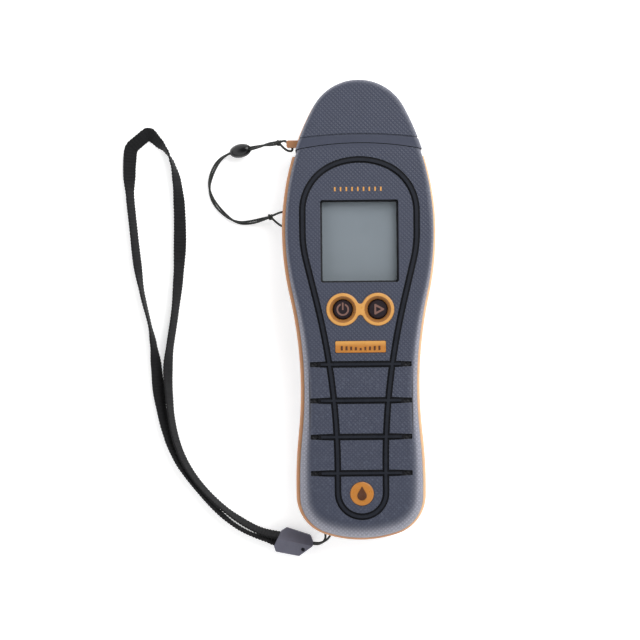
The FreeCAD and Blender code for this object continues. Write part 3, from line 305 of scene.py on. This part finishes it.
def case_grey():
    """Slate plastic with a moulded cross-hatch, painted highlights on the hatch tops and in dots over the
    grip, and a painted sheen where the edge turns over.
    """
    shader = Shader("case_grey", (0.025, 0.031, 0.054), 0.5)
    x, y, z = shader.axes()
    hatched = shader.math("SUBTRACT", 1.0, cap_lip(shader, x, y))
    cells = shader.times(shader.diamonds(HATCH_PITCH), hatched)
    shader.tinted(shader.noise(260, 3), 0.06)
    shader.overlay(shader.times(shader.noise(1400, 2), 0.3), (0.05, 0.053, 0.09))
    # Painted highlight: the tops of the hatch pyramids are laid lighter than the grooves between them.
    shader.overlay(shader.times(shader.ramp(cells, 0.2, 0.75), 0.2), (0.075, 0.088, 0.12))
    shader.overlay(shader.times(shader.edge(0.25 * MM), 0.25), (0.15, 0.17, 0.21))
    # Painted sheen: the shoulders where the front edge turns over are lightened, more towards the bottom, in
    # place of the light they catch.
    lower = shader.ramp(y, 40 * MM, -20 * MM, 0.45, 1.0)
    painted_shoulder_sheen = shader.times(shader.slope(), shader.ramp(cells, 0.1, 0.8, 0.62, 1.0))
    shader.overlay(shader.times(painted_shoulder_sheen, lower), (0.25, 0.252, 0.30))
    # Painted highlights: pale dots over the grip stand in for glints off its texture.
    pebbles = shader.add("ShaderNodeTexVoronoi", Vector=shader.place, Scale=PEBBLES).outputs[0]
    painted_pebble_highlights = shader.times(shader.ramp(pebbles, 0.4, 0.1, 0.0, 0.3), shader.ramp(y, GRIP_Y + 8 * MM, GRIP_Y))
    shader.overlay(painted_pebble_highlights, (0.085, 0.1, 0.14))
    # Painted shade: the grooves round the cross bars are laid near black.
    shader.overlay(painted_groove_shade(shader, x, y, z), (0.004, 0.005, 0.009))
    shader.rough(shader.noise(500, 3), 0.44, 0.58)
    shader.bump(cells, 0.09 * MM)
    shader.bump(shader.noise(5200, 2), 0.012 * MM)
    return shader.done()


def moulded(name, colour, roughness, grain=0.01, clouds=0.05, wear=None, **values):
    """Moulded plastic or rubber: faint clouds, fine spark-eroded grain and paler edges."""
    shader = Shader(name, colour, roughness, **values)
    shader.tinted(shader.noise(240, 3), clouds)
    if wear:
        shader.overlay(shader.times(shader.edge(0.2 * MM), 0.45), wear)
    shader.rough(shader.noise(700, 2), roughness - 0.06, roughness + 0.08)
    shader.bump(shader.noise(6000, 2), grain * MM)
    return shader.done()


def metal(name, colour, roughness, brush=(1, 12, 1), stain=(0.3, 0.25, 0.2)):
    """Bare or plated metal with fine tool marks and a little tarnish."""
    shader = Shader(name, colour, roughness, Metallic=1.0)
    marks = shader.noise(1500, 3, stretch=brush)
    shader.tinted(marks, 0.08)
    shader.overlay(shader.times(shader.ramp(shader.noise(400, 4), 0.55, 0.8), 0.35), stain)
    shader.rough(marks, roughness - 0.08, roughness + 0.12)
    shader.bump(marks, 0.004 * MM)
    return shader.done()


def amber_rim():
    """Rubbery orange band, browner on its left, with painted light that makes it paler and yellower on its
    right and a painted highlight line along its edges.
    """
    shader = Shader("amber_rim", (0.46, 0.22, 0.10), 0.42,
                    **{"Subsurface Weight": 0.15, "Subsurface Scale": 1.5 * MM})
    # Painted light: the right side of the band is laid paler and yellower, where the light falls on it.
    shader.overlay(shader.ramp(shader.axes()[0], 12 * MM, 26 * MM, 0.0, 0.55), (0.80, 0.56, 0.33))
    shader.tinted(shader.noise(180, 3), 0.05)
    # Painted highlight: a pale line along the band's edges.
    shader.overlay(shader.times(shader.edge(0.25 * MM), 0.6), (0.85, 0.62, 0.42))
    shader.rough(shader.noise(600, 2), 0.36, 0.5)
    shader.bump(shader.noise(5200, 2), 0.01 * MM)
    return shader.done()


def amber_trim():
    """Satin amber plastic of the bezel and the badges."""
    shader = Shader("amber_trim", (0.56, 0.28, 0.075), 0.34, **{"Coat Weight": 0.2, "Coat Roughness": 0.2})
    y = shader.axes()[1]
    shader.overlay(shader.ramp(y, BADGES_Y, BADGES_Y - 2 * MM), (0.42, 0.165, 0.03))
    shader.tinted(shader.noise(350, 3), 0.06)
    # Painted shade: faces that slope down into the keys and round the edges are darkened.
    shader.overlay(shader.times(shader.slope(), 0.8), (0.2, 0.07, 0.014))
    shader.overlay(shader.times(shader.edge(0.3 * MM), 0.55), (0.42, 0.13, 0.02))
    shader.rough(shader.noise(800, 2), 0.26, 0.42)
    shader.bump(shader.noise(4200, 2), 0.008 * MM)
    return shader.done()


def lcd_grey():
    """Passive display: grey-green, with painted light that makes it a little lighter towards its lower end,
    and fine vertical electrode lines.
    """
    shader = Shader("lcd_grey", (0.335, 0.385, 0.43), 0.38)
    x, y = shader.axes()[:2]
    lines = shader.math("PINGPONG", shader.math("DIVIDE", x, 0.42 * MM), 0.5)
    shader.tinted(shader.noise(45, 2), 0.06)
    shader.overlay(shader.times(lines, 0.06), (0.22, 0.26, 0.28))
    # Painted light: the display is laid lighter towards its lower end and darker towards its top.
    shader.overlay(shader.ramp(y, 44 * MM, 10 * MM, 0.0, 0.16), (0.40, 0.45, 0.47))
    shader.rough(shader.noise(300, 2), 0.34, 0.44)
    return shader.done()


def clear_window():
    """Clear hard-coated window, faintly smoked, with the odd hair scratch."""
    shader = Shader("clear_window", (0.02, 0.025, 0.03), 0.06, Alpha=0.16, **{"Coat Weight": 0.6})
    scratches = shader.ramp(shader.noise(900, 2, stretch=(1, 0.06, 1)), 0.70, 0.78)
    shader.overlay(scratches, (0.25, 0.26, 0.28))
    shader.rough(shader.noise(500, 2), 0.04, 0.12)
    return shader.done()


def board_green():
    """Solder-masked board with traces on a fine grid."""
    shader = Shader("board_green", (0.01, 0.09, 0.035), 0.35)
    cells = shader.add("ShaderNodeTexVoronoi", {"distance": "CHEBYCHEV"}, Vector=shader.place, Scale=420)
    traces = shader.ramp(cells.outputs[0], 0.42, 0.36)
    shader.overlay(shader.times(traces, 0.5), (0.03, 0.2, 0.07))
    shader.tinted(shader.noise(200, 3), 0.08)
    shader.bump(traces, 0.02 * MM)
    return shader.done()


def foam():
    """Open-cell foam."""
    shader = Shader("foam", (0.05, 0.05, 0.055), 0.95)
    pores = shader.add("ShaderNodeTexVoronoi", Vector=shader.place, Scale=2200).outputs[0]
    shader.overlay(shader.ramp(pores, 0.5, 0.1), (0.012, 0.012, 0.014))
    shader.bump(pores, 0.12 * MM)
    return shader.done()


def cell_wrap():
    """Printed battery sleeve: a copper-coloured end and a dark body, with no lettering."""
    shader = Shader("cell_wrap", (0.03, 0.035, 0.045), 0.28, **{"Coat Weight": 0.4})
    y = shader.axes()[1]
    shader.overlay(shader.ramp(y, -33 * MM, -32.6 * MM), (0.55, 0.27, 0.1))
    shader.tinted(shader.noise(300, 3), 0.08)
    shader.rough(shader.noise(400, 2), 0.22, 0.4)
    return shader.done()


def lay_place(shader):
    """Length along a cord in metres and the share of the way round it, from the piece's own layout."""
    layout = shader.add("ShaderNodeUVMap", {"uv_map": "lay"}).outputs[0]
    return shader.axes(layout)[:2]


def braided(name, colour, pitch):
    """Fine braided cord: two families of yarns that cross."""
    shader = Shader(name, colour, 0.62, **{"Sheen Weight": 0.1, "Specular IOR Level": 0.25})
    along, around = lay_place(shader)
    turns = shader.times(around, 4)
    yarns = []
    for operation in ("ADD", "SUBTRACT"):
        run = shader.math(operation, shader.math("DIVIDE", along, pitch), turns)
        yarns.append(shader.times(shader.math("PINGPONG", run, 0.5), 2))
    weave = shader.math("MAXIMUM", *yarns)
    shader.overlay(shader.times(shader.ramp(weave, 0.75, 1.0), 0.5), (0.06, 0.063, 0.06))
    shader.tinted(shader.noise(900, 2), 0.12)
    shader.bump(weave, 0.08 * MM)
    return shader.done()


def webbing():
    """Black ribbed webbing: fine warp yarns along it and wide weft ribs across it."""
    shader = Shader("webbing", (0.006, 0.006, 0.007), 0.75,
                    **{"Sheen Weight": 0.04, "Specular IOR Level": 0.2})
    along, around = lay_place(shader)
    warp = shader.math("PINGPONG", shader.times(around, 30), 0.5)
    weft = shader.math("PINGPONG", shader.math("DIVIDE", along, RIB_PITCH / 2), 0.5)
    weave = shader.times(shader.times(warp, weft), 4)
    shader.overlay(shader.times(shader.ramp(weave, 0.5, 1.0), 0.4), (0.02, 0.02, 0.022))
    shader.tinted(shader.noise(420, 3), 0.2)
    shader.bump(weave, 0.05 * MM)
    return shader.done()


def grip_rubber():
    """Black rubber inlay, with a painted highlight along the raised rib."""
    shader = Shader("black_rubber", (0.004, 0.0045, 0.007), 0.5, **{"Specular IOR Level": 0.2})
    z = shader.axes()[2]
    # Painted highlight: the top of the raised rib is laid paler.
    shader.overlay(shader.ramp(z, 27.95 * MM, 28.35 * MM), (0.01, 0.012, 0.018))
    shader.tinted(shader.noise(240, 3), 0.1)
    shader.rough(shader.noise(700, 2), 0.42, 0.58)
    shader.bump(shader.noise(6000, 2), 0.012 * MM)
    return shader.done()


def clasp_plastic():
    """Grey-violet moulded clasp with a matt face and rubbed edges."""
    shader = Shader("clasp_plastic", (0.1, 0.1, 0.135), 0.5)
    shader.tinted(shader.noise(260, 3), 0.08)
    shader.overlay(shader.times(shader.edge(0.3 * MM), 0.4), (0.22, 0.22, 0.27))
    shader.rough(shader.noise(800, 2), 0.42, 0.6)
    shader.bump(shader.noise(3600, 3), 0.03 * MM)
    return shader.done()


RIB_PITCH = 1.25 * MM

FINISHES = {
    "case_grey": (case_grey(), ["front_cover", "rear_cover", "cap_shell", "battery_door"]),
    "amber_rim": (amber_rim(), ["mid_band", "cap_band"]),
    "amber_trim": (amber_trim(), ["button_bezel", "badge_plate", "disc_badge"]),
    "black_rubber": (grip_rubber(), ["grip_inlay"]),
    "key_black": (moulded("key_black", (0.013, 0.008, 0.011), 0.42, 0.008, 0.1, (0.03, 0.02, 0.025),
                          **{"Specular IOR Level": 0.25}), ["power_button", "mode_button"]),
    "symbol_print": (moulded("symbol_print", (0.15, 0.075, 0.06), 0.5, 0.004, 0.12),
                     ["power_symbol", "mode_symbol"]),
    "badge_print": (moulded("badge_print", (0.07, 0.022, 0.006), 0.45, 0.004, 0.12),
                    ["badge_ticks", "drop_symbol"]),
    "clear_window": (clear_window(), ["lcd_window"]),
    "lcd_grey": (lcd_grey(), ["lcd_glass"]),
    "white_plastic": (moulded("white_plastic", (0.62, 0.62, 0.6), 0.45, 0.01, 0.03), ["lcd_backlight"]),
    "zebra": (moulded("zebra", (0.5, 0.35, 0.4), 0.6, 0.01, 0.15), ["zebra_strips"]),
    "board_green": (board_green(), ["main_board"]),
    "chip_black": (moulded("chip_black", (0.012, 0.012, 0.014), 0.4, 0.01, 0.1),
                   ["control_chip", "board_components", "buzzer"]),
    "plunger_white": (moulded("plunger_white", (0.55, 0.55, 0.53), 0.4, 0.01, 0.05),
                      ["power_plunger", "mode_plunger", "power_switch", "mode_switch"]),
    "head_black": (moulded("head_black", (0.02, 0.021, 0.025), 0.48, 0.02, 0.1, (0.06, 0.06, 0.07)),
                   ["electrode_head", "lcd_frame"]),
    "brass": (metal("brass", (0.72, 0.5, 0.2), 0.3, (1, 14, 1), (0.3, 0.18, 0.06)),
              ["pin_holder_left", "pin_holder_right", "pin_nut_left", "pin_nut_right"]),
    "pin_steel": (metal("pin_steel", (0.62, 0.62, 0.63), 0.22, (1, 10, 1)),
                  ["electrode_pin_left", "electrode_pin_right"]),
    "screw_steel": (metal("screw_steel", (0.36, 0.36, 0.37), 0.36, (6, 6, 1)),
                    ["case_screws", "board_screws"]),
    "spring_steel": (metal("spring_steel", (0.64, 0.63, 0.6), 0.28), ["contact_bridge", "contact_positive",
                                                                      "contact_negative"]),
    "cell_wrap": (cell_wrap(), ["battery_cell_left", "battery_cell_right"]),
    "foam": (foam(), ["door_pad"]),
    "tether_cord": (braided("tether_cord", (0.018, 0.02, 0.018), 0.9 * MM), []),
    "webbing": (webbing(), []),
    "clasp_plastic": (clasp_plastic(), ["strap_clasp"]),
    "bead_plastic": (moulded("bead_plastic", (0.005, 0.005, 0.006), 0.24, 0.006, 0.1, (0.02, 0.02, 0.022),
                             **{"Coat Weight": 0.15, "Coat Roughness": 0.12, "Specular IOR Level": 0.3}),
                     ["tether_bead"]),
}


def finish_frame():
    """Give every carried-over node its finish."""
    for material, names in FINISHES.values():
        for name in names:
            NODES[name].data.materials.clear()
            NODES[name].data.materials.append(material)


# ------------------------------------------------------------------ lines and tubes
def route_line(route):
    """Points of the smooth line that a route of control points describes."""
    data = bpy.data.curves.new("route", "CURVE")
    data.dimensions = "3D"
    data.resolution_u = 16
    spline = data.splines.new("NURBS")
    spline.points.add(len(route) - 1)
    for control, place in zip(spline.points, route):
        control.co = (*place, 1)
    spline.order_u = 3
    spline.use_endpoint_u = True
    holder = bpy.data.objects.new("route", data)
    mesh = bpy.data.meshes.new_from_object(holder)
    line = [vertex.co.copy() for vertex in mesh.vertices]
    bpy.data.objects.remove(holder)
    return line


def even_line(line, step):
    """The same line with evenly spaced points, and how far along it each lies."""
    marks = [0.0]
    for one, other in zip(line, line[1:]):
        marks.append(marks[-1] + (other - one).length)
    count = max(2, round(marks[-1] / step))
    points, lengths = [], []
    piece = 0
    for number in range(count + 1):
        mark = marks[-1] * number / count
        while piece < len(line) - 2 and marks[piece + 1] < mark:
            piece += 1
        span = marks[piece + 1] - marks[piece] or 1.0
        points.append(line[piece].lerp(line[piece + 1], (mark - marks[piece]) / span))
        lengths.append(mark)
    return points, lengths


def directions(points):
    """The direction of a line at each of its points."""
    ahead = [later - earlier for earlier, later in zip([points[0]] + points, points[1:] + points[-1:])]
    return [step.normalized() for step in ahead]


def swept(name, sections, lengths, closed=False):
    """A mesh skin over rings of points, with a layout of length along and share of the way round."""
    ring = len(sections[0])
    corners = [point for section in sections for point in section]
    faces, layout = [], []
    rows = len(sections) if closed else len(sections) - 1
    for row in range(rows):
        following = (row + 1) % len(sections)
        start, end = lengths[row], lengths[row] + (lengths[1] - lengths[0])
        for side in range(ring):
            beside = (side + 1) % ring
            faces.append((row * ring + side, row * ring + beside,
                          following * ring + beside, following * ring + side))
            layout.append(((start, side / ring), (start, (side + 1) / ring), (end, (side + 1) / ring),
                           (end, side / ring)))
    if not closed:
        last = (len(sections) - 1) * ring
        faces.append(tuple(reversed(range(ring))))
        faces.append(tuple(last + side for side in range(ring)))
        layout += [tuple((0, side / ring) for side in range(ring))] * 2
    mesh = bpy.data.meshes.new(name)
    mesh.from_pydata(corners, [], faces)
    lay = mesh.uv_layers.new(name="lay")
    flat = [place for corner in layout for place in corner]
    for loop, place in zip(lay.data, flat):
        loop.uv = place
    mesh.shade_smooth()
    return mesh


def round_tube(name, points, lengths, radius, sides=12, closed=False):
    """A round cord along a line, with a frame carried along it without twisting."""
    heads = directions(points)
    if closed:
        heads = [(points[(n + 1) % len(points)] - points[n - 1]).normalized() for n in range(len(points))]
    across = heads[0].orthogonal().normalized()
    sections = []
    for place, head in zip(points, heads):
        across = (across - head * across.dot(head)).normalized()
        beside = head.cross(across)
        sections.append([place + (across * math.cos(turn) + beside * math.sin(turn)) * radius
                         for turn in (2 * math.pi * side / sides for side in range(sides))])
    return swept(name, sections, lengths, closed)


def piece(name, meshes, slot, body=None, stands_for=()):
    """One object of the meter out of one or more meshes."""
    if len(meshes) > 1:
        parts = [bpy.data.objects.new(name, mesh) for mesh in meshes]
        for part in parts:
            SCENE.collection.objects.link(part)
        with bpy.context.temp_override(active_object=parts[0], selected_editable_objects=parts,
                                       object=parts[0], selected_objects=parts):
            bpy.ops.object.join()
        made = parts[0]
    else:
        made = bpy.data.objects.new(name, meshes[0])
        SCENE.collection.objects.link(made)
    made.data.materials.clear()
    made.data.materials.append(FINISHES[slot][0])
    if body:
        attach(made, body)
    if stands_for:
        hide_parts(*stands_for)
    return made


# ------------------------------------------------------------------------- tether
THIN_CORD = 0.45 * MM
TETHER_ROUTE = [mm(*point) for point in (
    (-31.1, 66.08, 12.05), (-32.3, 65.9, 11.2), (-36.0, 65.6, 8.6), (-40.6, 64.8, 6.5),
    (-46.4, 63.83, 3.74), (-51.3, 63.0, 1.6),
    (-55.3, 60.2, 1.1), (-58.0, 55.2, 1.1), (-59.3, 49.6, 1.1), (-57.5, 43.8, 1.1), (-53.0, 38.6, 1.1),
    (-48.0, 35.3, 1.1), (-42.3, 35.5, 1.3), (-35.9, 37.2, 3.2),
    (-34.85, 37.55, 3.55))]
CAP_KNOT = mm(-30.9, 66.1, 12.2)
CAP_LOOP = [mm(*point) for point in (
    (-28.9, 66.9, 13.7), (-27.4, 65.8, 14), (-25.2, 63.4, 14), (-26.3, 62.3, 13.6), (-28.9, 63.5, 12.9))]
CASE_KNOT = mm(-34.7, 37.6, 3.6)
CASE_LOOP = [mm(*point) for point in (
    (-31.7, 38.9, 6.6), (-29.2, 39.3, 8), (-24.9, 39.3, 8), (-24.9, 33.2, 8), (-29.2, 33.2, 8),
    (-31.9, 34.6, 6.4))]


def strand_pair(points, lengths, gap, phase, turn_length):
    """Two thin cords that wind slowly about each other along a line."""
    heads = directions(points)
    meshes = []
    for sign in (-1, 1):
        strand = []
        for place, head, mark in zip(points, heads, lengths):
            side = head.cross(UP).normalized()
            rise = side.cross(head)
            turn = phase + 2 * math.pi * mark / turn_length
            strand.append(place + (side * math.cos(turn) + rise * math.sin(turn)) * gap(mark) * sign)
        meshes.append(round_tube("tether_strand", strand, lengths, THIN_CORD))
    return meshes


def overhand_knot(centre, axis, size):
    """A pulled-tight overhand knot: a trefoil of thin cord squashed along its axis."""
    turn = UP.rotation_difference(axis)
    count = 90
    points = []
    for step in range(count):
        t = 2 * math.pi * step / count
        place = Vector((math.sin(t) + 2 * math.sin(2 * t), math.cos(t) - 2 * math.cos(2 * t),
                        -1.3 * math.sin(3 * t)))
        points.append(centre + turn @ (place * size / 3))
    marks = [0.3 * MM * step for step in range(count)]
    return round_tube("knot", points, marks, THIN_CORD * 0.95, 10, closed=True)


def tied_loop(name, knot, route, body, axis, node):
    """A thin cord loop that starts and ends in its knot."""
    line, lengths = even_line(route_line([knot] + route + [knot]), 0.25 * MM)
    return piece(name, [round_tube("loop", line, lengths, THIN_CORD), overhand_knot(knot, axis, 0.95 * MM)],
                 "tether_cord", body, [node])


def make_tether():
    """The cap's tether: two thin cords from the cap's knot through the bead to the case's knot."""
    line, lengths = even_line(route_line(TETHER_ROUTE), 0.35 * MM)
    open_from, open_to = 1.5 * MM, 9.5 * MM

    def gap(mark):
        if not open_from < mark < open_to:
            return 0.48 * MM
        return 0.48 * MM + 0.28 * MM * math.sin(math.pi * (mark - open_from) / (open_to - open_from))

    tether = piece("tether", strand_pair(line, lengths, gap, 0.35, 33 * MM), "tether_cord",
                   stands_for=["tether_cord"])
    cap_loop = tied_loop("tether_cap_ring", CAP_KNOT, CAP_LOOP, "pin_cap", (1, -0.3, 0.4), "tether_cap_loop")
    case_loop = tied_loop("tether_case_ring", CASE_KNOT, CASE_LOOP, "case", (1, 0.2, 0.5), "tether_case_loop")
    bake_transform(tether)


# -------------------------------------------------------------------------- strap
WEBBING_WIDE = 5.5 * MM
WEBBING_THICK = 0.85 * MM
RIB_EDGE = 0.03
RIB_FACE = 0.3
# Each point: x, y, the width that shows from above, and the side that the top edge leans to (+1 outwards).
STRAP_ROUTE = (
    (-31.6, -91.9, 3.0, 1), (-34.3, -91.4, 2.8, 1), (-38.0, -90.0, 2.2, 1), (-44.0, -88.2, 1.4, 1),
    (-50.2, -84.7, 1.5, 1), (-56.6, -79.2, 1.9, 1), (-62.9, -72.4, 1.9, 1), (-69.2, -64.1, 2.4, 1),
    (-72.8, -58.5, 2.7, 1), (-76.3, -49.8, 3.3, 1), (-78.4, -40.3, 4.0, 1), (-79.9, -30.7, 4.9, 1),
    (-80.6, -21.2, 4.4, 1), (-81.6, -12.5, 2.7, 1), (-82.9, -5.0, 1.3, 1), (-86.0, 7.4, 1.9, 1),
    (-87.9, 20.0, 3.4, 1), (-89.2, 34.0, 3.2, 1), (-90.5, 46.5, 3.3, 1), (-90.7, 56.0, 5.1, 1),
    (-90.4, 62.0, 5.4, 1), (-90.0, 65.0, 5.4, 1), (-89.3, 66.2, 5.3, 1), (-86.3, 68.6, 5.2, 1),
    (-83.4, 71.0, 5.2, 1), (-82.4, 71.2, 5.2, 1), (-79.0, 67.6, 4.2, 1),
    (-75.9, 64.6, 2.3, 1), (-73.3, 59.6, 1.9, -1), (-71.6, 52.0, 3.6, -1),
    (-70.8, 42.0, 4.7, -1), (-70.7, 28.0, 5.1, -1), (-71.4, 14.5, 4.1, -1), (-72.9, 0.0, 3.1, -1),
    (-75.1, -13.0, 3.1, -1), (-76.2, -22.0, 3.9, -1), (-75.7, -32.0, 3.2, -1), (-75.0, -41.5, 2.8, -1),
    (-73.1, -51.0, 2.8, -1), (-69.9, -59.5, 2.8, -1), (-64.8, -67.4, 2.6, -1), (-59.0, -73.8, 2.4, -1),
    (-53.4, -78.8, 2.3, -1), (-47.0, -83.3, 2.7, -1), (-40.7, -86.8, 2.8, -1), (-35.5, -88.3, 3.0, -1),
    (-31.6, -88.9, 3.0, -1))


def lean_for(seen):
    """How far the webbing leans over for a width to show from above, as the angle from upright."""
    low, high = 0.0, math.pi / 2
    for halving in range(24):
        middle = (low + high) / 2
        if WEBBING_WIDE * math.sin(middle) + WEBBING_THICK * math.cos(middle) < seen:
            low = middle
        else:
            high = middle
    return low


def spread_values(values, points, marks_at, places):
    """Values given at route points, carried to every point of a line between the nearest route points."""
    marks = []
    start = 0
    for place in places:
        near = min(range(start, len(points)), key=lambda number: (points[number].xy - place.xy).length)
        marks.append(marks_at[near])
        start = near
    spread = []
    piece_at = 0
    for mark in marks_at:
        while piece_at < len(marks) - 2 and marks[piece_at + 1] < mark:
            piece_at += 1
        span = marks[piece_at + 1] - marks[piece_at] or 1.0
        share = min(1.0, max(0.0, (mark - marks[piece_at]) / span))
        share = share * share * (3 - 2 * share)
        spread.append(values[piece_at] * (1 - share) + values[piece_at + 1] * share)
    return spread


def webbing_section(place, head, lean, mark):
    """One ring of the ribbed webbing: a flat section with full edges that leans over."""
    side = UP.cross(head).normalized()
    tall = UP * math.cos(lean) + side * math.sin(lean)
    thin = head.cross(tall).normalized()
    drift = 0.8 * math.sin(mark / (7.3 * MM)) + 0.6 * math.sin(mark / (3.1 * MM))
    rib = math.sin(2 * math.pi * mark / RIB_PITCH + drift)
    half_tall = WEBBING_WIDE / 2 * (1 + RIB_EDGE * rib)
    half_thin = WEBBING_THICK / 2 * (1 + RIB_FACE * rib)
    most_tall, most_thin = WEBBING_WIDE / 2 * (1 + RIB_EDGE), WEBBING_THICK / 2 * (1 + RIB_FACE)
    lift = most_tall * abs(math.cos(lean)) + most_thin * abs(math.sin(lean)) + 0.05 * MM
    middle = Vector((place.x, place.y, lift))
    ring = []
    corners = 20
    for corner in range(corners):
        turn = 2 * math.pi * corner / corners
        across = math.copysign(abs(math.sin(turn)) ** 0.45, math.sin(turn))
        along = math.copysign(abs(math.cos(turn)) ** 0.45, math.cos(turn))
        ring.append(middle + tall * along * half_tall + thin * across * half_thin)
    return middle, ring


def make_strap():
    """The wrist strap's webbing, from its clasp round and back."""
    places = [mm(x, y, 0) for x, y, seen, side in STRAP_ROUTE]
    line, lengths = even_line(route_line(places), 0.3 * MM)
    given = [lean_for(seen * MM) * side for x, y, seen, side in STRAP_ROUTE]
    leans = spread_values(given, line, lengths, places)
    stations = zip(line, directions(line), leans, lengths)
    middles, rings = zip(*(webbing_section(*station) for station in stations))
    strap = piece("strap_band", [swept("strap", rings, lengths)], "webbing", "case", ["strap_webbing"])


STRAP_LOOP_ROUTE = [mm(*point) for point in (
    (-23.0, -91.0, 3.8), (-18.3, -92.0, 3.8), (-15.2, -91.6, 4.8), (-12.6, -89.6, 6.3), (-11.6, -86.6, 7),
    (-11.6, -82.6, 7), (-14.4, -82.6, 7), (-14.4, -86.6, 7), (-13.9, -89.7, 5.7), (-15.4, -92.0, 3.6),
    (-18.2, -92.8, 2.3), (-22.8, -91.8, 2.3))]


def make_strap_loop():
    """The thin cord from the clasp round the bar in the case."""
    line, lengths = even_line(route_line(STRAP_LOOP_ROUTE), 0.25 * MM)
    loop = piece("strap_cord", [round_tube("strap_cord", line, lengths, THIN_CORD)], "tether_cord", "case",
                 ["strap_loop_cord"])


# -------------------------------------------------------------------------- print
def make_scale_print():
    """A row of nine even amber ticks above the display, in place of a name."""
    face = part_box("front_cover")[1].z
    left, right, base = -9.3 * MM, 8.3 * MM, 45.7 * MM
    count, half_wide, tall = 9, 0.3 * MM, 1.6 * MM
    corners, faces = [], []

    def bar(x_low, x_high, y_low, y_high):
        first = len(corners)
        low, high = face - 0.02 * MM, face + 0.03 * MM
        corners.extend([(x, y, z) for z in (low, high) for x, y in
                        ((x_low, y_low), (x_high, y_low), (x_high, y_high), (x_low, y_high))])
        faces.extend([tuple(first + corner for corner in face_corners) for face_corners in (
            (3, 2, 1, 0), (4, 5, 6, 7), (0, 1, 5, 4), (1, 2, 6, 5), (2, 3, 7, 6), (3, 0, 4, 7))])

    for number in range(count):
        x = left + (right - left) * number / (count - 1)
        bar(x - half_wide, x + half_wide, base, base + tall)
    mesh = bpy.data.meshes.new("scale_print")
    mesh.from_pydata(corners, [], faces)
    piece("scale_print", [mesh], "amber_trim", "case")


make_camera()
make_studio()
finish_frame()
make_tether()
make_strap()
make_strap_loop()
make_scale_print()
